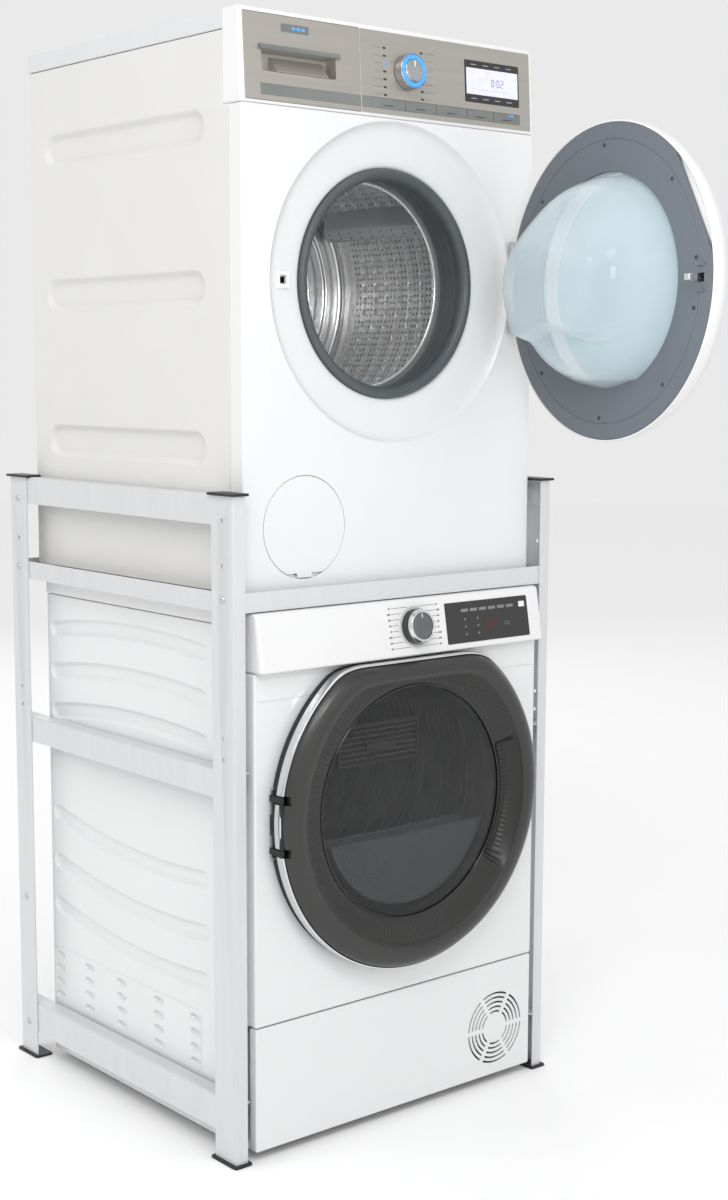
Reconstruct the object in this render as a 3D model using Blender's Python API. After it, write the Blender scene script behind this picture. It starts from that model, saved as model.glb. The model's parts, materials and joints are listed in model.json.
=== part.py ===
"""A stacking stand that holds a washing machine above a tumble dryer.

Metres, +Z up, the fronts face -Y. The origin is on the floor, in the middle of the
model's bounding box with the washer's door standing open.
"""
import math

import bmesh
import bpy

# ---- driving dimensions ----
GAP = 0.0003  # between pieces that touch
ROUND = 32  # sides of a large turned piece
DRYER_DRUM_ROUND = 48
SMALL = 12  # sides of a small turned piece

STAND_WIDTH = 0.665
STAND_DEPTH = 0.655
STAND_FRONT = -0.092
STAND_BACK = STAND_FRONT + STAND_DEPTH
POST_TOP = 1.035
POST_SIDE_LEG = 0.055
POST_FRONT_LEG = 0.022
METAL = 0.002
RAIL_INSET = METAL + GAP
SHELF_RAIL = (0.860, 0.890)
GUARD_RAIL = (0.990, POST_TOP)
MID_RAIL = (0.574, 0.618)
BASE_RAIL = (0.045, 0.100)
SHELF_FLANGE = 0.030
SHELF_BOARD_TOP = 0.8803

WASHER_SIZE = (0.598, 0.600, 0.848)
WASHER_BASE = 0.893
WASHER_AT = (-WASHER_SIZE[0] / 2, STAND_FRONT + 0.020, WASHER_BASE)
DRYER_SIZE = (0.596, 0.600, 0.846)
DRYER_BASE = 0.012
DRYER_AT = (-DRYER_SIZE[0] / 2, STAND_FRONT - 0.004, DRYER_BASE)
SHEET = 0.003  # wall of a casing
FRONT_RETURN = 0.030  # depth of a front panel's folded edges
CAP_DEPTH = 0.045  # depth of a control panel's side caps

# washer, from the left front bottom corner of its casing
WASHER_SPLIT = 0.711  # top of the front panel
WASHER_TOP_THICK = 0.030
FASCIA_LEAN = 0.008
PORT = (0.299, 0.460)  # porthole's centre, x and z
DISH_RADIUS = 0.2475
DISH_DEPTH = 0.020
PORT_RADIUS = 0.178
DRAWER_RIGHT = 0.228
KEY_EDGES = (0.248, 0.317, 0.382, 0.448, 0.507, 0.567)
KEY_ROW = (0.7245, 0.7410)
KNOB_AT = (0.3233, 0.784)
INLET_AT = (0.085, 0.765)
DISPLAY = (0.445, 0.566, 0.7525, 0.818)
FLAP_AT = (0.117, 0.087)
FLAP_RADIUS = 0.079
DOOR_DEPTH = 0.053
HINGE_OFFSET = 0.2455  # from the porthole's centre to the hinge pin
HINGE_PROUD = 0.012
DOOR_OPEN = math.radians(82)
HOOK_OFFSET = 0.214
TUB_RADIUS = 0.262
DRUM_RADIUS = 0.246
PULLEY_RADIUS = 0.140
MOTOR_PULLEY_RADIUS = 0.012
MOTOR_AT = (0.299, 0.130)
BELT_Y = (0.4860, 0.4990)

# dryer, from the left front bottom corner of its casing
DRYER_TOP_THICK = 0.025
FLAP_TOP = 0.2015
DRYER_SPLIT = 0.755
PANEL_PROUD = (0.020, 0.004)  # control panel's lower and upper edge, in front of the casing
DRYER_PORT = (0.298, 0.522)
DRYER_PORT_RADIUS = 0.205
DRYER_DOOR_RADIUS = 0.272
DRYER_DOOR_FLAT = 0.2315  # height of the door's flat top above its centre
DRYER_HINGE = (0.030, -0.028)
DRYER_KNOB_AT = (0.311, 0.802)
DRYER_DISPLAY = (0.378, 0.565, 0.7665, 0.8335)
DRYER_DRUM_RADIUS = 0.280
DRYER_MOTOR_AT = (0.460, 0.115)
SHAFT_RADIUS = 0.0054
DRYER_BELT_Y = (0.2990, 0.3110)
GRILLE_AT = (0.512, 0.087)
GRILLE_RINGS = (0.020, 0.032, 0.044, 0.056)
GRILLE_SECTORS = 6


# ---- helpers ----
def clear_scene():
    for item in list(bpy.data.objects):
        bpy.data.objects.remove(item, do_unlink=True)


def surface(name, colour, roughness, metallic=0.0, alpha=1.0):
    material = bpy.data.materials.new(name)
    material.use_nodes = True
    shader = material.node_tree.nodes["Principled BSDF"]
    shader.inputs["Base Color"].default_value = (*colour, 1.0)
    shader.inputs["Roughness"].default_value = roughness
    shader.inputs["Metallic"].default_value = metallic
    shader.inputs["Alpha"].default_value = alpha
    return material


def anchor(name, location, parent=None, turn=(0.0, 0.0, 0.0)):
    empty = bpy.data.objects.new(name, None)
    bpy.context.collection.objects.link(empty)
    empty.parent = parent
    empty.location = location
    empty.rotation_euler = turn
    return empty


def finish(name, shape, material, parent=None, pivot=(0.0, 0.0, 0.0)):
    """Makes the object, with its origin at pivot, a point in the parent's space."""
    bmesh.ops.recalc_face_normals(shape, faces=shape.faces)
    bmesh.ops.translate(shape, vec=[-value for value in pivot], verts=shape.verts)
    mesh = bpy.data.meshes.new(name)
    shape.to_mesh(mesh)
    shape.free()
    mesh.materials.append(material)
    mesh.shade_smooth()
    mesh.set_sharp_from_angle(angle=math.radians(35))
    item = bpy.data.objects.new(name, mesh)
    bpy.context.collection.objects.link(item)
    item.parent = parent
    item.location = pivot
    return item


def cut(item, tool_shape, name, parent=None, operation="DIFFERENCE"):
    tool = finish(name, tool_shape, item.data.materials[0], parent)
    tool.hide_render = True
    tool.display_type = "WIRE"
    boolean = item.modifiers.new(name, "BOOLEAN")
    boolean.operation = operation
    boolean.solver = "EXACT"
    boolean.object = tool


def join(item, tool_shape, name, parent=None):
    cut(item, tool_shape, name, parent, "UNION")


def bridge(shape, first, second):
    """Joins two closed loops with the same number of points."""
    for k, corner in enumerate(first):
        after = (k + 1) % len(first)
        shape.faces.new((corner, first[after], second[after], second[k]))


def box(shape, low, high):
    open_box(shape, low, high, 0.0, closed_solid=True)


def open_box(shape, low, high, wall, open_sides=(), closed_solid=False):
    """A box with walls, open on the sides named, such as ("-y", "+z"); or a solid block."""
    outer, inner = {}, {}
    for corner in [(i, j, k) for i in (0, 1) for j in (0, 1) for k in (0, 1)]:
        outside, inside = [], []
        for axis, side in enumerate(corner):
            edge = (low, high)[side][axis]
            name = "-+"[side] + "xyz"[axis]
            step = 0.0 if name in open_sides else wall * (1 - 2 * side)
            outside.append(edge)
            inside.append(edge + step)
        outer[corner] = shape.verts.new(outside)
        if not closed_solid:
            inner[corner] = shape.verts.new(inside)
    for axis in range(3):
        others = [a for a in range(3) if a != axis]
        for side in (0, 1):
            ring = []
            for first, second in ((0, 0), (1, 0), (1, 1), (0, 1)):
                corner = [0, 0, 0]
                corner[axis], corner[others[0]], corner[others[1]] = side, first, second
                ring.append(tuple(corner))
            if closed_solid:
                shape.faces.new([outer[c] for c in ring])
            elif "-+"[side] + "xyz"[axis] not in open_sides:
                shape.faces.new([outer[c] for c in ring])
                shape.faces.new([inner[c] for c in ring])
            else:
                rim(shape, ring, outer, inner, axis, open_sides)


def rim(shape, ring, outer, inner, axis, open_sides):
    for k, start in enumerate(ring):
        end = ring[(k + 1) % 4]
        shared = [a for a in range(3) if a != axis and start[a] == end[a]][0]
        if "-+"[start[shared]] + "xyz"[shared] not in open_sides:
            shape.faces.new((outer[start], outer[end], inner[end], inner[start]))


def prism(shape, outline, across, low, high):
    """An outline pushed along the axis named across; its points are in the other two axes."""
    order = {"x": (2, 0, 1), "y": (0, 2, 1), "z": (0, 1, 2)}[across]
    loops = []
    for level in (low, high):
        points = [(*point, level) for point in outline]
        loops.append([shape.verts.new([point[k] for k in order]) for point in points])
    bridge(shape, *loops)
    shape.faces.new(loops[0])
    shape.faces.new(loops[1])


def turned(shape, profile, centre, sides=ROUND, along="y"):
    """A closed profile of (radius, place along the axis) turned about an axis.

    centre is in the other two axes. A third value limits a point's height above the centre.
    """
    order = {"x": (2, 0, 1), "y": (0, 2, 1), "z": (0, 1, 2)}[along]
    loops = []
    for radius, level, *limit in profile:
        count = sides if radius else 1
        loop = []
        for k in range(count):
            angle = 2 * math.pi * (k + 0.5) / sides
            reach = radius
            if limit and math.sin(angle) > 0:
                reach = min(radius, limit[0] / math.sin(angle))
            point = (centre[0] + reach * math.cos(angle), centre[1] + reach * math.sin(angle), level)
            loop.append(shape.verts.new([point[m] for m in order]))
        loops.append(loop)
    for k, first in enumerate(loops):
        second = loops[(k + 1) % len(loops)]
        if len(first) > 1 and len(second) > 1:
            bridge(shape, first, second)
        elif len(first) > 1 or len(second) > 1:
            wide, tip = (first, second[0]) if len(first) > 1 else (second, first[0])
            for m, corner in enumerate(wide):
                shape.faces.new((corner, wide[(m + 1) % len(wide)], tip))


def around(radius, sides):
    """The radius whose flats clear a circle of the given radius."""
    return radius / math.cos(math.pi / sides)


def circle(centre, radius, sides=ROUND):
    turns = [2 * math.pi * (k + 0.5) / sides for k in range(sides)]
    return [(centre[0] + radius * math.cos(t), centre[1] + radius * math.sin(t)) for t in turns]


def rectangle(left, right, low, high):
    return [(left, low), (right, low), (right, high), (left, high)]


def panel(shape, edge, depth, wall, holes, lean=None):
    """A sheet with folded edges, open at the back, and holes through its face.

    edge is (left, right, low, high). A hole is a list of (points, y), from the face's front to
    its back. A pocket is two such lists, the front skin's and the back skin's, both blind.
    """
    lean = lean or (lambda z: 0.0)
    left, right, low, high = edge

    def loop(points, y, level=False):
        return [shape.verts.new((x, y + (0.0 if level else lean(z)), z)) for x, z in points]

    inset = rectangle(left + wall, right - wall, low + wall, high - wall)
    front = loop(rectangle(*edge), 0.0)
    front_rim = loop(rectangle(*edge), depth, level=True)
    back_rim = loop(inset, depth, level=True)
    back = loop(inset, wall)
    bridge(shape, front, front_rim)
    bridge(shape, front_rim, back_rim)
    bridge(shape, back_rim, back)
    skins = [[front], [back]]
    for hole in holes:
        chains = hole if isinstance(hole[0], list) else [hole]
        made = [[loop(points, y) for points, y in chain] for chain in chains]
        for chain in made:
            for first, second in zip(chain, chain[1:]):
                bridge(shape, first, second)
        if len(made) == 1:
            skins[0].append(made[0][0])
            skins[1].append(made[0][-1])
        else:
            for skin, chain in zip(skins, made):
                skin.append(chain[0])
                shape.faces.new(chain[-1])
    for skin in skins:
        edges = [shape.edges.get((l[k], l[(k + 1) % len(l)])) for l in skin for k in range(len(l))]
        bmesh.ops.triangle_fill(shape, use_beauty=True, use_dissolve=False, edges=edges)


def through(points, wall=SHEET):
    return [(points, 0.0), (points, wall)]


def belt_loop(shape, big, big_radius, small, small_radius, span, thick=0.003):
    """A flat belt round two pulleys whose shafts run along Y."""
    run = (small[0] - big[0], small[1] - big[1])
    distance = math.hypot(*run)
    heading = math.atan2(run[1], run[0])
    contact = math.acos((big_radius - small_radius) / distance)
    wraps = (
        (big, big_radius, contact, 2 * math.pi - contact, 30),
        (small, small_radius, -contact, contact, 8),
    )
    rings = []
    for extra, y in ((GAP, span[0]), (GAP + thick, span[0]), (GAP + thick, span[1]), (GAP, span[1])):
        ring = []
        for centre, radius, begin, end, steps in wraps:
            step = (end - begin) / steps
            reach = (radius + extra) / math.cos(step / 2)
            for k in range(steps + 1):
                angle = heading + begin + step * k
                place = (centre[0] + reach * math.cos(angle), y, centre[1] + reach * math.sin(angle))
                ring.append(shape.verts.new(place))
        rings.append(ring)
    for k, ring in enumerate(rings):
        bridge(shape, ring, rings[(k + 1) % 4])


# ---- stand ----
def post(name, side, edge, inward, steel):
    """An L-section post; edge is its outer Y face and inward the way into the stand."""
    corner = side * STAND_WIDTH / 2
    section = [
        (0, 0),
        (POST_FRONT_LEG, 0),
        (POST_FRONT_LEG, METAL),
        (METAL, METAL),
        (METAL, POST_SIDE_LEG),
        (0, POST_SIDE_LEG),
    ]
    shape = bmesh.new()
    prism(shape, [(corner - side * x, edge + inward * y) for x, y in section], "z", 0.0, POST_TOP)
    finish(name, shape, steel)


def side_rail(name, side, heights, flange, steel):
    """An L-section rail between two posts, its flange on top and turned inwards."""
    outer = side * (STAND_WIDTH / 2 - RAIL_INSET)
    low, high = heights
    section = [(0, low), (METAL, low), (METAL, high - METAL), (flange, high - METAL)]
    section += [(flange, high), (0, high)]
    shape = bmesh.new()
    span = (STAND_FRONT + RAIL_INSET, STAND_BACK - RAIL_INSET)
    prism(shape, [(outer - side * x, z) for x, z in section], "y", *span)
    finish(name, shape, steel)


def shelf_frame(steel):
    """Four angle rails mitred and welded into a frame, their flanges carrying the board."""
    low, high = SHELF_RAIL
    section = [(0, low), (SHELF_FLANGE, low), (SHELF_FLANGE, low + METAL), (METAL, low + METAL)]
    section += [(METAL, high), (0, high)]
    half_width = STAND_WIDTH / 2 - RAIL_INSET
    half_depth = STAND_DEPTH / 2 - RAIL_INSET
    middle = (STAND_FRONT + STAND_BACK) / 2
    shape = bmesh.new()
    loops = []
    for inward, z in section:
        loop = []
        for x, y in ((-1, -1), (1, -1), (1, 1), (-1, 1)):
            place = (x * (half_width - inward), middle + y * (half_depth - inward), z)
            loop.append(shape.verts.new(place))
        loops.append(loop)
    for k, loop in enumerate(loops):
        bridge(shape, loop, loops[(k + 1) % len(loops)])
    finish("stand_shelf_frame", shape, steel)


def stand(steel, board_finish):
    for side, hand in ((-1, "left"), (1, "right")):
        post(f"stand_post_front_{hand}", side, STAND_FRONT, 1, steel)
        post(f"stand_post_rear_{hand}", side, STAND_BACK, -1, steel)
        side_rail(f"stand_guard_rail_{hand}", side, GUARD_RAIL, 0.020, steel)
        side_rail(f"stand_mid_rail_{hand}", side, MID_RAIL, 0.026, steel)
        side_rail(f"stand_base_rail_{hand}", side, BASE_RAIL, 0.026, steel)
    shelf_frame(steel)
    inset = 0.0105
    shape = bmesh.new()
    low = (-STAND_WIDTH / 2 + inset, STAND_FRONT + inset, SHELF_RAIL[0] + METAL + GAP)
    high = (STAND_WIDTH / 2 - inset, STAND_BACK - inset, SHELF_BOARD_TOP)
    box(shape, low, high)
    finish("stand_shelf_board", shape, board_finish)


def step_back(cabinet, parent, size, split):
    """Cuts a casing's sides back to the rear edge of its control panel."""
    shape = bmesh.new()
    box(shape, (-0.01, -0.01, split), (size[0] + 0.01, CAP_DEPTH + GAP, size[2]))
    cut(cabinet, shape, cabinet.name + "_step", parent)


def feet_and_gland(cabinet, parent, size, floor, gland_at):
    """Levelling feet under a casing and the cord's gland on its back, joined to its sheet."""
    inset = 0.055
    profile = [(0, floor), (0.019, floor), (0.019, floor + 0.006), (0.008, floor + 0.006)]
    profile += [(0.008, SHEET / 2), (0, SHEET / 2)]
    shape = bmesh.new()
    for x in (inset, size[0] - inset):
        for y in (inset, size[1] - inset):
            turned(shape, profile, (x, y), 10, "z")
    join(cabinet, shape, cabinet.name + "_feet", parent)
    back = size[1]
    profile = [(0, back - SHEET / 2), (0.013, back - SHEET / 2), (0.013, back + 0.004)]
    profile += [(0.008, back + 0.005), (0.006, back + 0.016), (0.0038, back + 0.016)]
    profile += [(0.0038, back + 0.006), (0, back + 0.006)]
    shape = bmesh.new()
    turned(shape, profile, gland_at, SMALL)
    join(cabinet, shape, cabinet.name + "_gland", parent)


# ---- washer ----
def fascia_lean(z):
    return FASCIA_LEAN * (z - WASHER_SPLIT) / (WASHER_SIZE[2] - WASHER_SPLIT)


def washer_casing(washer, white, pale, silver):
    width, depth, height = WASHER_SIZE
    top_low = height - WASHER_TOP_THICK
    shape = bmesh.new()
    open_box(shape, (0, FRONT_RETURN + GAP, 0), (width, depth, top_low - GAP), SHEET, ("-y", "+z"))
    cabinet = finish("washer_cabinet", shape, white, washer)
    step_back(cabinet, washer, WASHER_SIZE, WASHER_SPLIT)
    feet_and_gland(cabinet, washer, WASHER_SIZE, SHELF_BOARD_TOP + GAP - WASHER_BASE, (0.510, 0.740))
    shape = bmesh.new()
    profile = [(0.0145, depth - 0.02), (0.0145, depth + 0.02), (0, depth + 0.02), (0, depth - 0.02)]
    turned(shape, profile, INLET_AT, SMALL)
    cut(cabinet, shape, "inlet_hole_cutter", washer)

    shape = bmesh.new()
    box(shape, (0, CAP_DEPTH + GAP, top_low), (width, depth + 0.006, height))
    finish("washer_worktop", shape, pale, washer)

    shape = bmesh.new()
    dish = [
        (circle(PORT, DISH_RADIUS), 0.0),
        (circle(PORT, PORT_RADIUS), DISH_DEPTH),
        (circle(PORT, PORT_RADIUS), DISH_DEPTH + SHEET),
        (circle(PORT, DISH_RADIUS), SHEET),
    ]
    service = through(circle(FLAP_AT, around(FLAP_RADIUS + GAP, 24), 24))
    panel(shape, (0, width, 0, WASHER_SPLIT), FRONT_RETURN, SHEET, [dish, service])
    front = finish("washer_front_panel", shape, white, washer)
    shape = bmesh.new()
    slot = PORT[0] - HOOK_OFFSET
    box(shape, (slot - 0.009, -0.01, PORT[1] - 0.009), (slot + 0.009, 0.04, PORT[1] + 0.009))
    cut(front, shape, "lock_slot_cutter", washer)

    shape = bmesh.new()
    drawer_hole = through(rectangle(0.0065, DRAWER_RIGHT, WASHER_SPLIT + 0.0055, height - 0.0055))
    display_hole = through(rectangle(*DISPLAY))
    keys_hole = through(rectangle(KEY_EDGES[0], KEY_EDGES[-1], *KEY_ROW))
    knob_hole = through(circle(KNOB_AT, around(0.0058, SMALL), SMALL))
    edge = (0, width, WASHER_SPLIT + GAP, height)
    panel(shape, edge, CAP_DEPTH, SHEET, [drawer_hole, display_hole, keys_hole, knob_hole], fascia_lean)
    finish("washer_control_panel", shape, silver, washer)


def washer_controls(washer, silver, glass, grey):
    angle = math.atan2(FASCIA_LEAN, WASHER_SIZE[2] - WASHER_SPLIT)
    knob_pivot = (KNOB_AT[0], fascia_lean(KNOB_AT[1]), KNOB_AT[1])
    shape = bmesh.new()
    profile = [
        (0, -0.0190),
        (0.0215, -0.0180),
        (0.0235, -0.0160),
        (0.0270, -0.0030),
        (0.0270, -0.0006),
        (0.0050, -0.0006),
        (0.0050, 0.0160),
        (0, 0.0160),
    ]
    turned(shape, profile, (0, 0), 24)
    knob = finish("washer_program_knob", shape, silver, washer)
    knob.location = knob_pivot
    knob.rotation_euler = (-angle, 0, 0)

    play = 0.0004
    for k, (left, right) in enumerate(zip(KEY_EDGES, KEY_EDGES[1:])):
        middle = (KEY_ROW[0] + KEY_ROW[1]) / 2
        half_width = (right - left) / 2 - play
        half_height = (KEY_ROW[1] - KEY_ROW[0]) / 2 - play
        shape = bmesh.new()
        box(shape, (-half_width, -0.0008, -half_height), (half_width, 0.0052, half_height))
        key = finish(f"washer_key_{k + 1}", shape, grey, washer)
        key.location = ((left + right) / 2, fascia_lean(middle), middle)
        key.rotation_euler = (-angle, 0, 0)

    left, right, low, high = DISPLAY
    shape = bmesh.new()
    half_width = (right - left) / 2 - play
    half_height = (high - low) / 2 - play
    box(shape, (-half_width, -0.0006, -half_height), (half_width, 0.0090, half_height))
    display = finish("washer_display", shape, glass, washer)
    display.location = ((left + right) / 2, fascia_lean((low + high) / 2), (low + high) / 2)
    display.rotation_euler = (-angle, 0, 0)


def washer_drawer(washer, silver, white):
    low, high = WASHER_SPLIT + 0.0065, WASHER_SIZE[2] - 0.0065
    edge = (0.0075, DRAWER_RIGHT - 0.001, low, high)
    grip = (0.038, 0.182, 0.758, 0.790)
    front_skin = [(rectangle(*grip), 0.0), (rectangle(*grip), 0.024)]
    wider = (grip[0] - SHEET, grip[1] + SHEET, grip[2] - SHEET, grip[3] + SHEET)
    back_skin = [(rectangle(*wider), SHEET), (rectangle(*wider), 0.024 + SHEET)]
    shape = bmesh.new()
    panel(shape, edge, 0.014, SHEET, [[front_skin, back_skin]], fascia_lean)
    drawer = finish("washer_drawer", shape, silver, washer)
    tray_low, tray_high = 0.733, 0.800
    shape = bmesh.new()
    open_box(shape, (0.016, 0.0300, tray_low), (0.214, 0.290, tray_high), SHEET, ("+z",))
    join(drawer, shape, "drawer_tray", washer)
    shape = bmesh.new()
    for x in (0.080, 0.148):
        box(shape, (x, 0.0320, tray_low + 0.001), (x + 0.0025, 0.2885, tray_high - 0.006))
    join(drawer, shape, "drawer_dividers", washer)

    shape = bmesh.new()
    open_box(shape, (0.0105, 0.046, 0.7275), (0.2205, 0.360, 0.8120), 0.002, ("-y",))
    finish("washer_drawer_housing", shape, white, washer)


def washer_service(washer, white, grey):
    hinge = (FLAP_AT[0], 0.0015, FLAP_AT[1] - FLAP_RADIUS + 0.003)
    shape = bmesh.new()
    profile = [(FLAP_RADIUS, 0.0), (FLAP_RADIUS, SHEET), (0, SHEET), (0, 0.0)]
    turned(shape, profile, FLAP_AT, 24)
    flap = finish("washer_service_flap", shape, white, washer, hinge)
    tab_half_width, tab_top = 0.015, FLAP_AT[1] - FLAP_RADIUS + 0.0085
    shape = bmesh.new()
    for side in (-1, 1):
        ends = sorted((FLAP_AT[0] + side * tab_half_width, FLAP_AT[0] + side * FLAP_RADIUS))
        box(shape, (ends[0], -0.01, 0.0), (ends[1], 0.02, tab_top))
    cut(flap, shape, "flap_tab_cutter", washer)

    shape = bmesh.new()
    profile = [(0, 0.030), (0.030, 0.030), (0.030, 0.038), (0.0245, 0.0385), (0.0245, 0.078), (0, 0.078)]
    turned(shape, profile, FLAP_AT, 16)
    plug = finish("washer_filter_plug", shape, grey, washer, (FLAP_AT[0], 0.030, FLAP_AT[1]))
    shape = bmesh.new()
    x, z = FLAP_AT
    box(shape, (x - 0.026, 0.012, z - 0.005), (x + 0.026, 0.032, z + 0.005))
    join(plug, shape, "plug_grip", washer)

    shape = bmesh.new()
    bore = around(0.0252, 16)
    profile = [
        (bore, 0.0385),
        (0.036, 0.0385),
        (0.036, 0.100),
        (0.028, 0.102),
        (0.028, 0.150),
        (0, 0.150),
        (0, 0.082),
        (bore, 0.082),
    ]
    turned(shape, profile, FLAP_AT, 16)
    finish("washer_drain_pump", shape, white, washer)


def washer_door(door, white, grey, glass, chrome):
    """Modelled shut, from the hinge pin; the parent empty swings it open."""
    centre = (-HINGE_OFFSET, 0.0)
    back = HINGE_PROUD  # the casing's front plane, seen from the pin

    def profile(points):
        return [(radius, y + back) for radius, y in points]

    shape = bmesh.new()
    shell = [
        (0.2425, -0.0035),
        (0.2425, -0.0220),
        (0.2330, -0.0400),
        (0.2080, -DOOR_DEPTH),
        (0.1700, -0.0490),
        (0.1680, -0.0170),
        (0.1710, -0.0170),
        (0.1730, -0.0462),
        (0.2070, -0.0500),
        (0.2300, -0.0385),
        (0.2395, -0.0215),
        (0.2395, -0.0035),
    ]
    turned(shape, profile(shell), centre)
    shell = finish("washer_door_shell", shape, white, door)
    hinge_room(shell, door, "shell_hinge_cutter")
    shape = bmesh.new()
    grip_left = centre[0] - 0.250
    box(shape, (grip_left, back - 0.0225, -0.070), (grip_left + 0.0125, back + 0.01, 0.015))
    cut(shell, shape, "grip_cutter", door)

    shape = bmesh.new()
    plate = [(0.2390, -0.0090), (0.2390, -0.0030), (0.1655, -0.0030), (0.1655, -0.0090)]
    turned(shape, profile(plate), centre)
    ring = finish("washer_door_ring", shape, grey, door)
    shape = bmesh.new()
    box(shape, (-0.0145, back - 0.0150, -0.078), (0.010, back + 0.01, 0.078))
    hook_x = centre[0] - HOOK_OFFSET
    box(shape, (hook_x - 0.008, back - 0.02, -0.006), (hook_x + 0.006, back + 0.01, 0.006))
    cut(ring, shape, "ring_cutter", door)
    bore = around(0.0039, SMALL)
    knuckles, arms = bmesh.new(), bmesh.new()
    for low in (-0.044, 0.015):
        high = low + 0.029
        turned(knuckles, [(bore, low), (0.0075, low), (0.0075, high), (bore, high)], (0, 0), SMALL, "z")
        box(arms, (-0.022, back - 0.0125, low + 0.002), (-0.0055, back - 0.0080, high - 0.002))
    join(ring, knuckles, "ring_knuckles", door)
    join(ring, arms, "ring_arms", door)

    shape = bmesh.new()
    bowl = [
        (0.1765, -0.0155),
        (0.1765, -0.0098),
        (0.1620, -0.0098),
        (0.1595, 0.0020),
        (0.1500, 0.0500),
        (0.1370, 0.0880),
        (0.1080, 0.1100),
        (0, 0.1180),
        (0, 0.1140),
        (0.1060, 0.1062),
        (0.1335, 0.0860),
        (0.1460, 0.0490),
        (0.1580, -0.0155),
    ]
    turned(shape, profile(bowl), centre)
    finish("washer_door_glass", shape, glass, door)

    pivot = (hook_x, back - 0.022, 0.0)
    outline = [
        (0.0035, -0.004),
        (0.0035, 0.0480),
        (-0.0055, 0.0450),
        (-0.0055, 0.0420),
        (-0.0010, 0.0390),
        (-0.0010, -0.004),
    ]
    shape = bmesh.new()
    prism(shape, [(pivot[0] + x, pivot[1] + y) for x, y in outline], "z", -0.0045, 0.0045)
    finish("washer_door_hook", shape, chrome, door, pivot)


def hinge_room(item, door, name):
    """Cuts a flat in the door's edge, where the hinge's knuckles sit."""
    shape = bmesh.new()
    box(shape, (-0.0150, -0.060, -0.078), (0.020, 0.030, 0.078))
    cut(item, shape, name, door)


def washer_hinge(washer, zinc):
    pin_x, pin_y, middle = PORT[0] + HINGE_OFFSET, -HINGE_PROUD, PORT[1]
    shape = bmesh.new()
    box(shape, (pin_x + 0.0100, -0.0035, middle - 0.075), (pin_x + 0.030, -GAP, middle + 0.075))
    hinge = finish("washer_door_hinge", shape, zinc, washer)
    shape = bmesh.new()
    hinge_pin(shape, (pin_x, pin_y), middle, 0.075, 0.0447, 0.0070, 0.0036)
    join(hinge, shape, "hinge_pin", washer)
    shape = bmesh.new()
    for low in (middle - 0.074, middle + 0.046):
        box(shape, (pin_x + 0.0035, pin_y - 0.003, low), (pin_x + 0.0150, -0.0015, low + 0.028))
    join(hinge, shape, "hinge_webs", washer)


def hinge_pin(shape, place, middle, reach, inner, thick, thin):
    """A pin with a thick knuckle at each end."""
    profile = []
    for side in (-1, 1):
        ends = [(0, reach), (thick, reach), (thick, inner), (thin, inner)]
        ends = ends if side < 0 else ends[::-1]
        profile += [(radius, middle + side * level) for radius, level in ends]
    turned(shape, profile, place, SMALL, "z")


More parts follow.
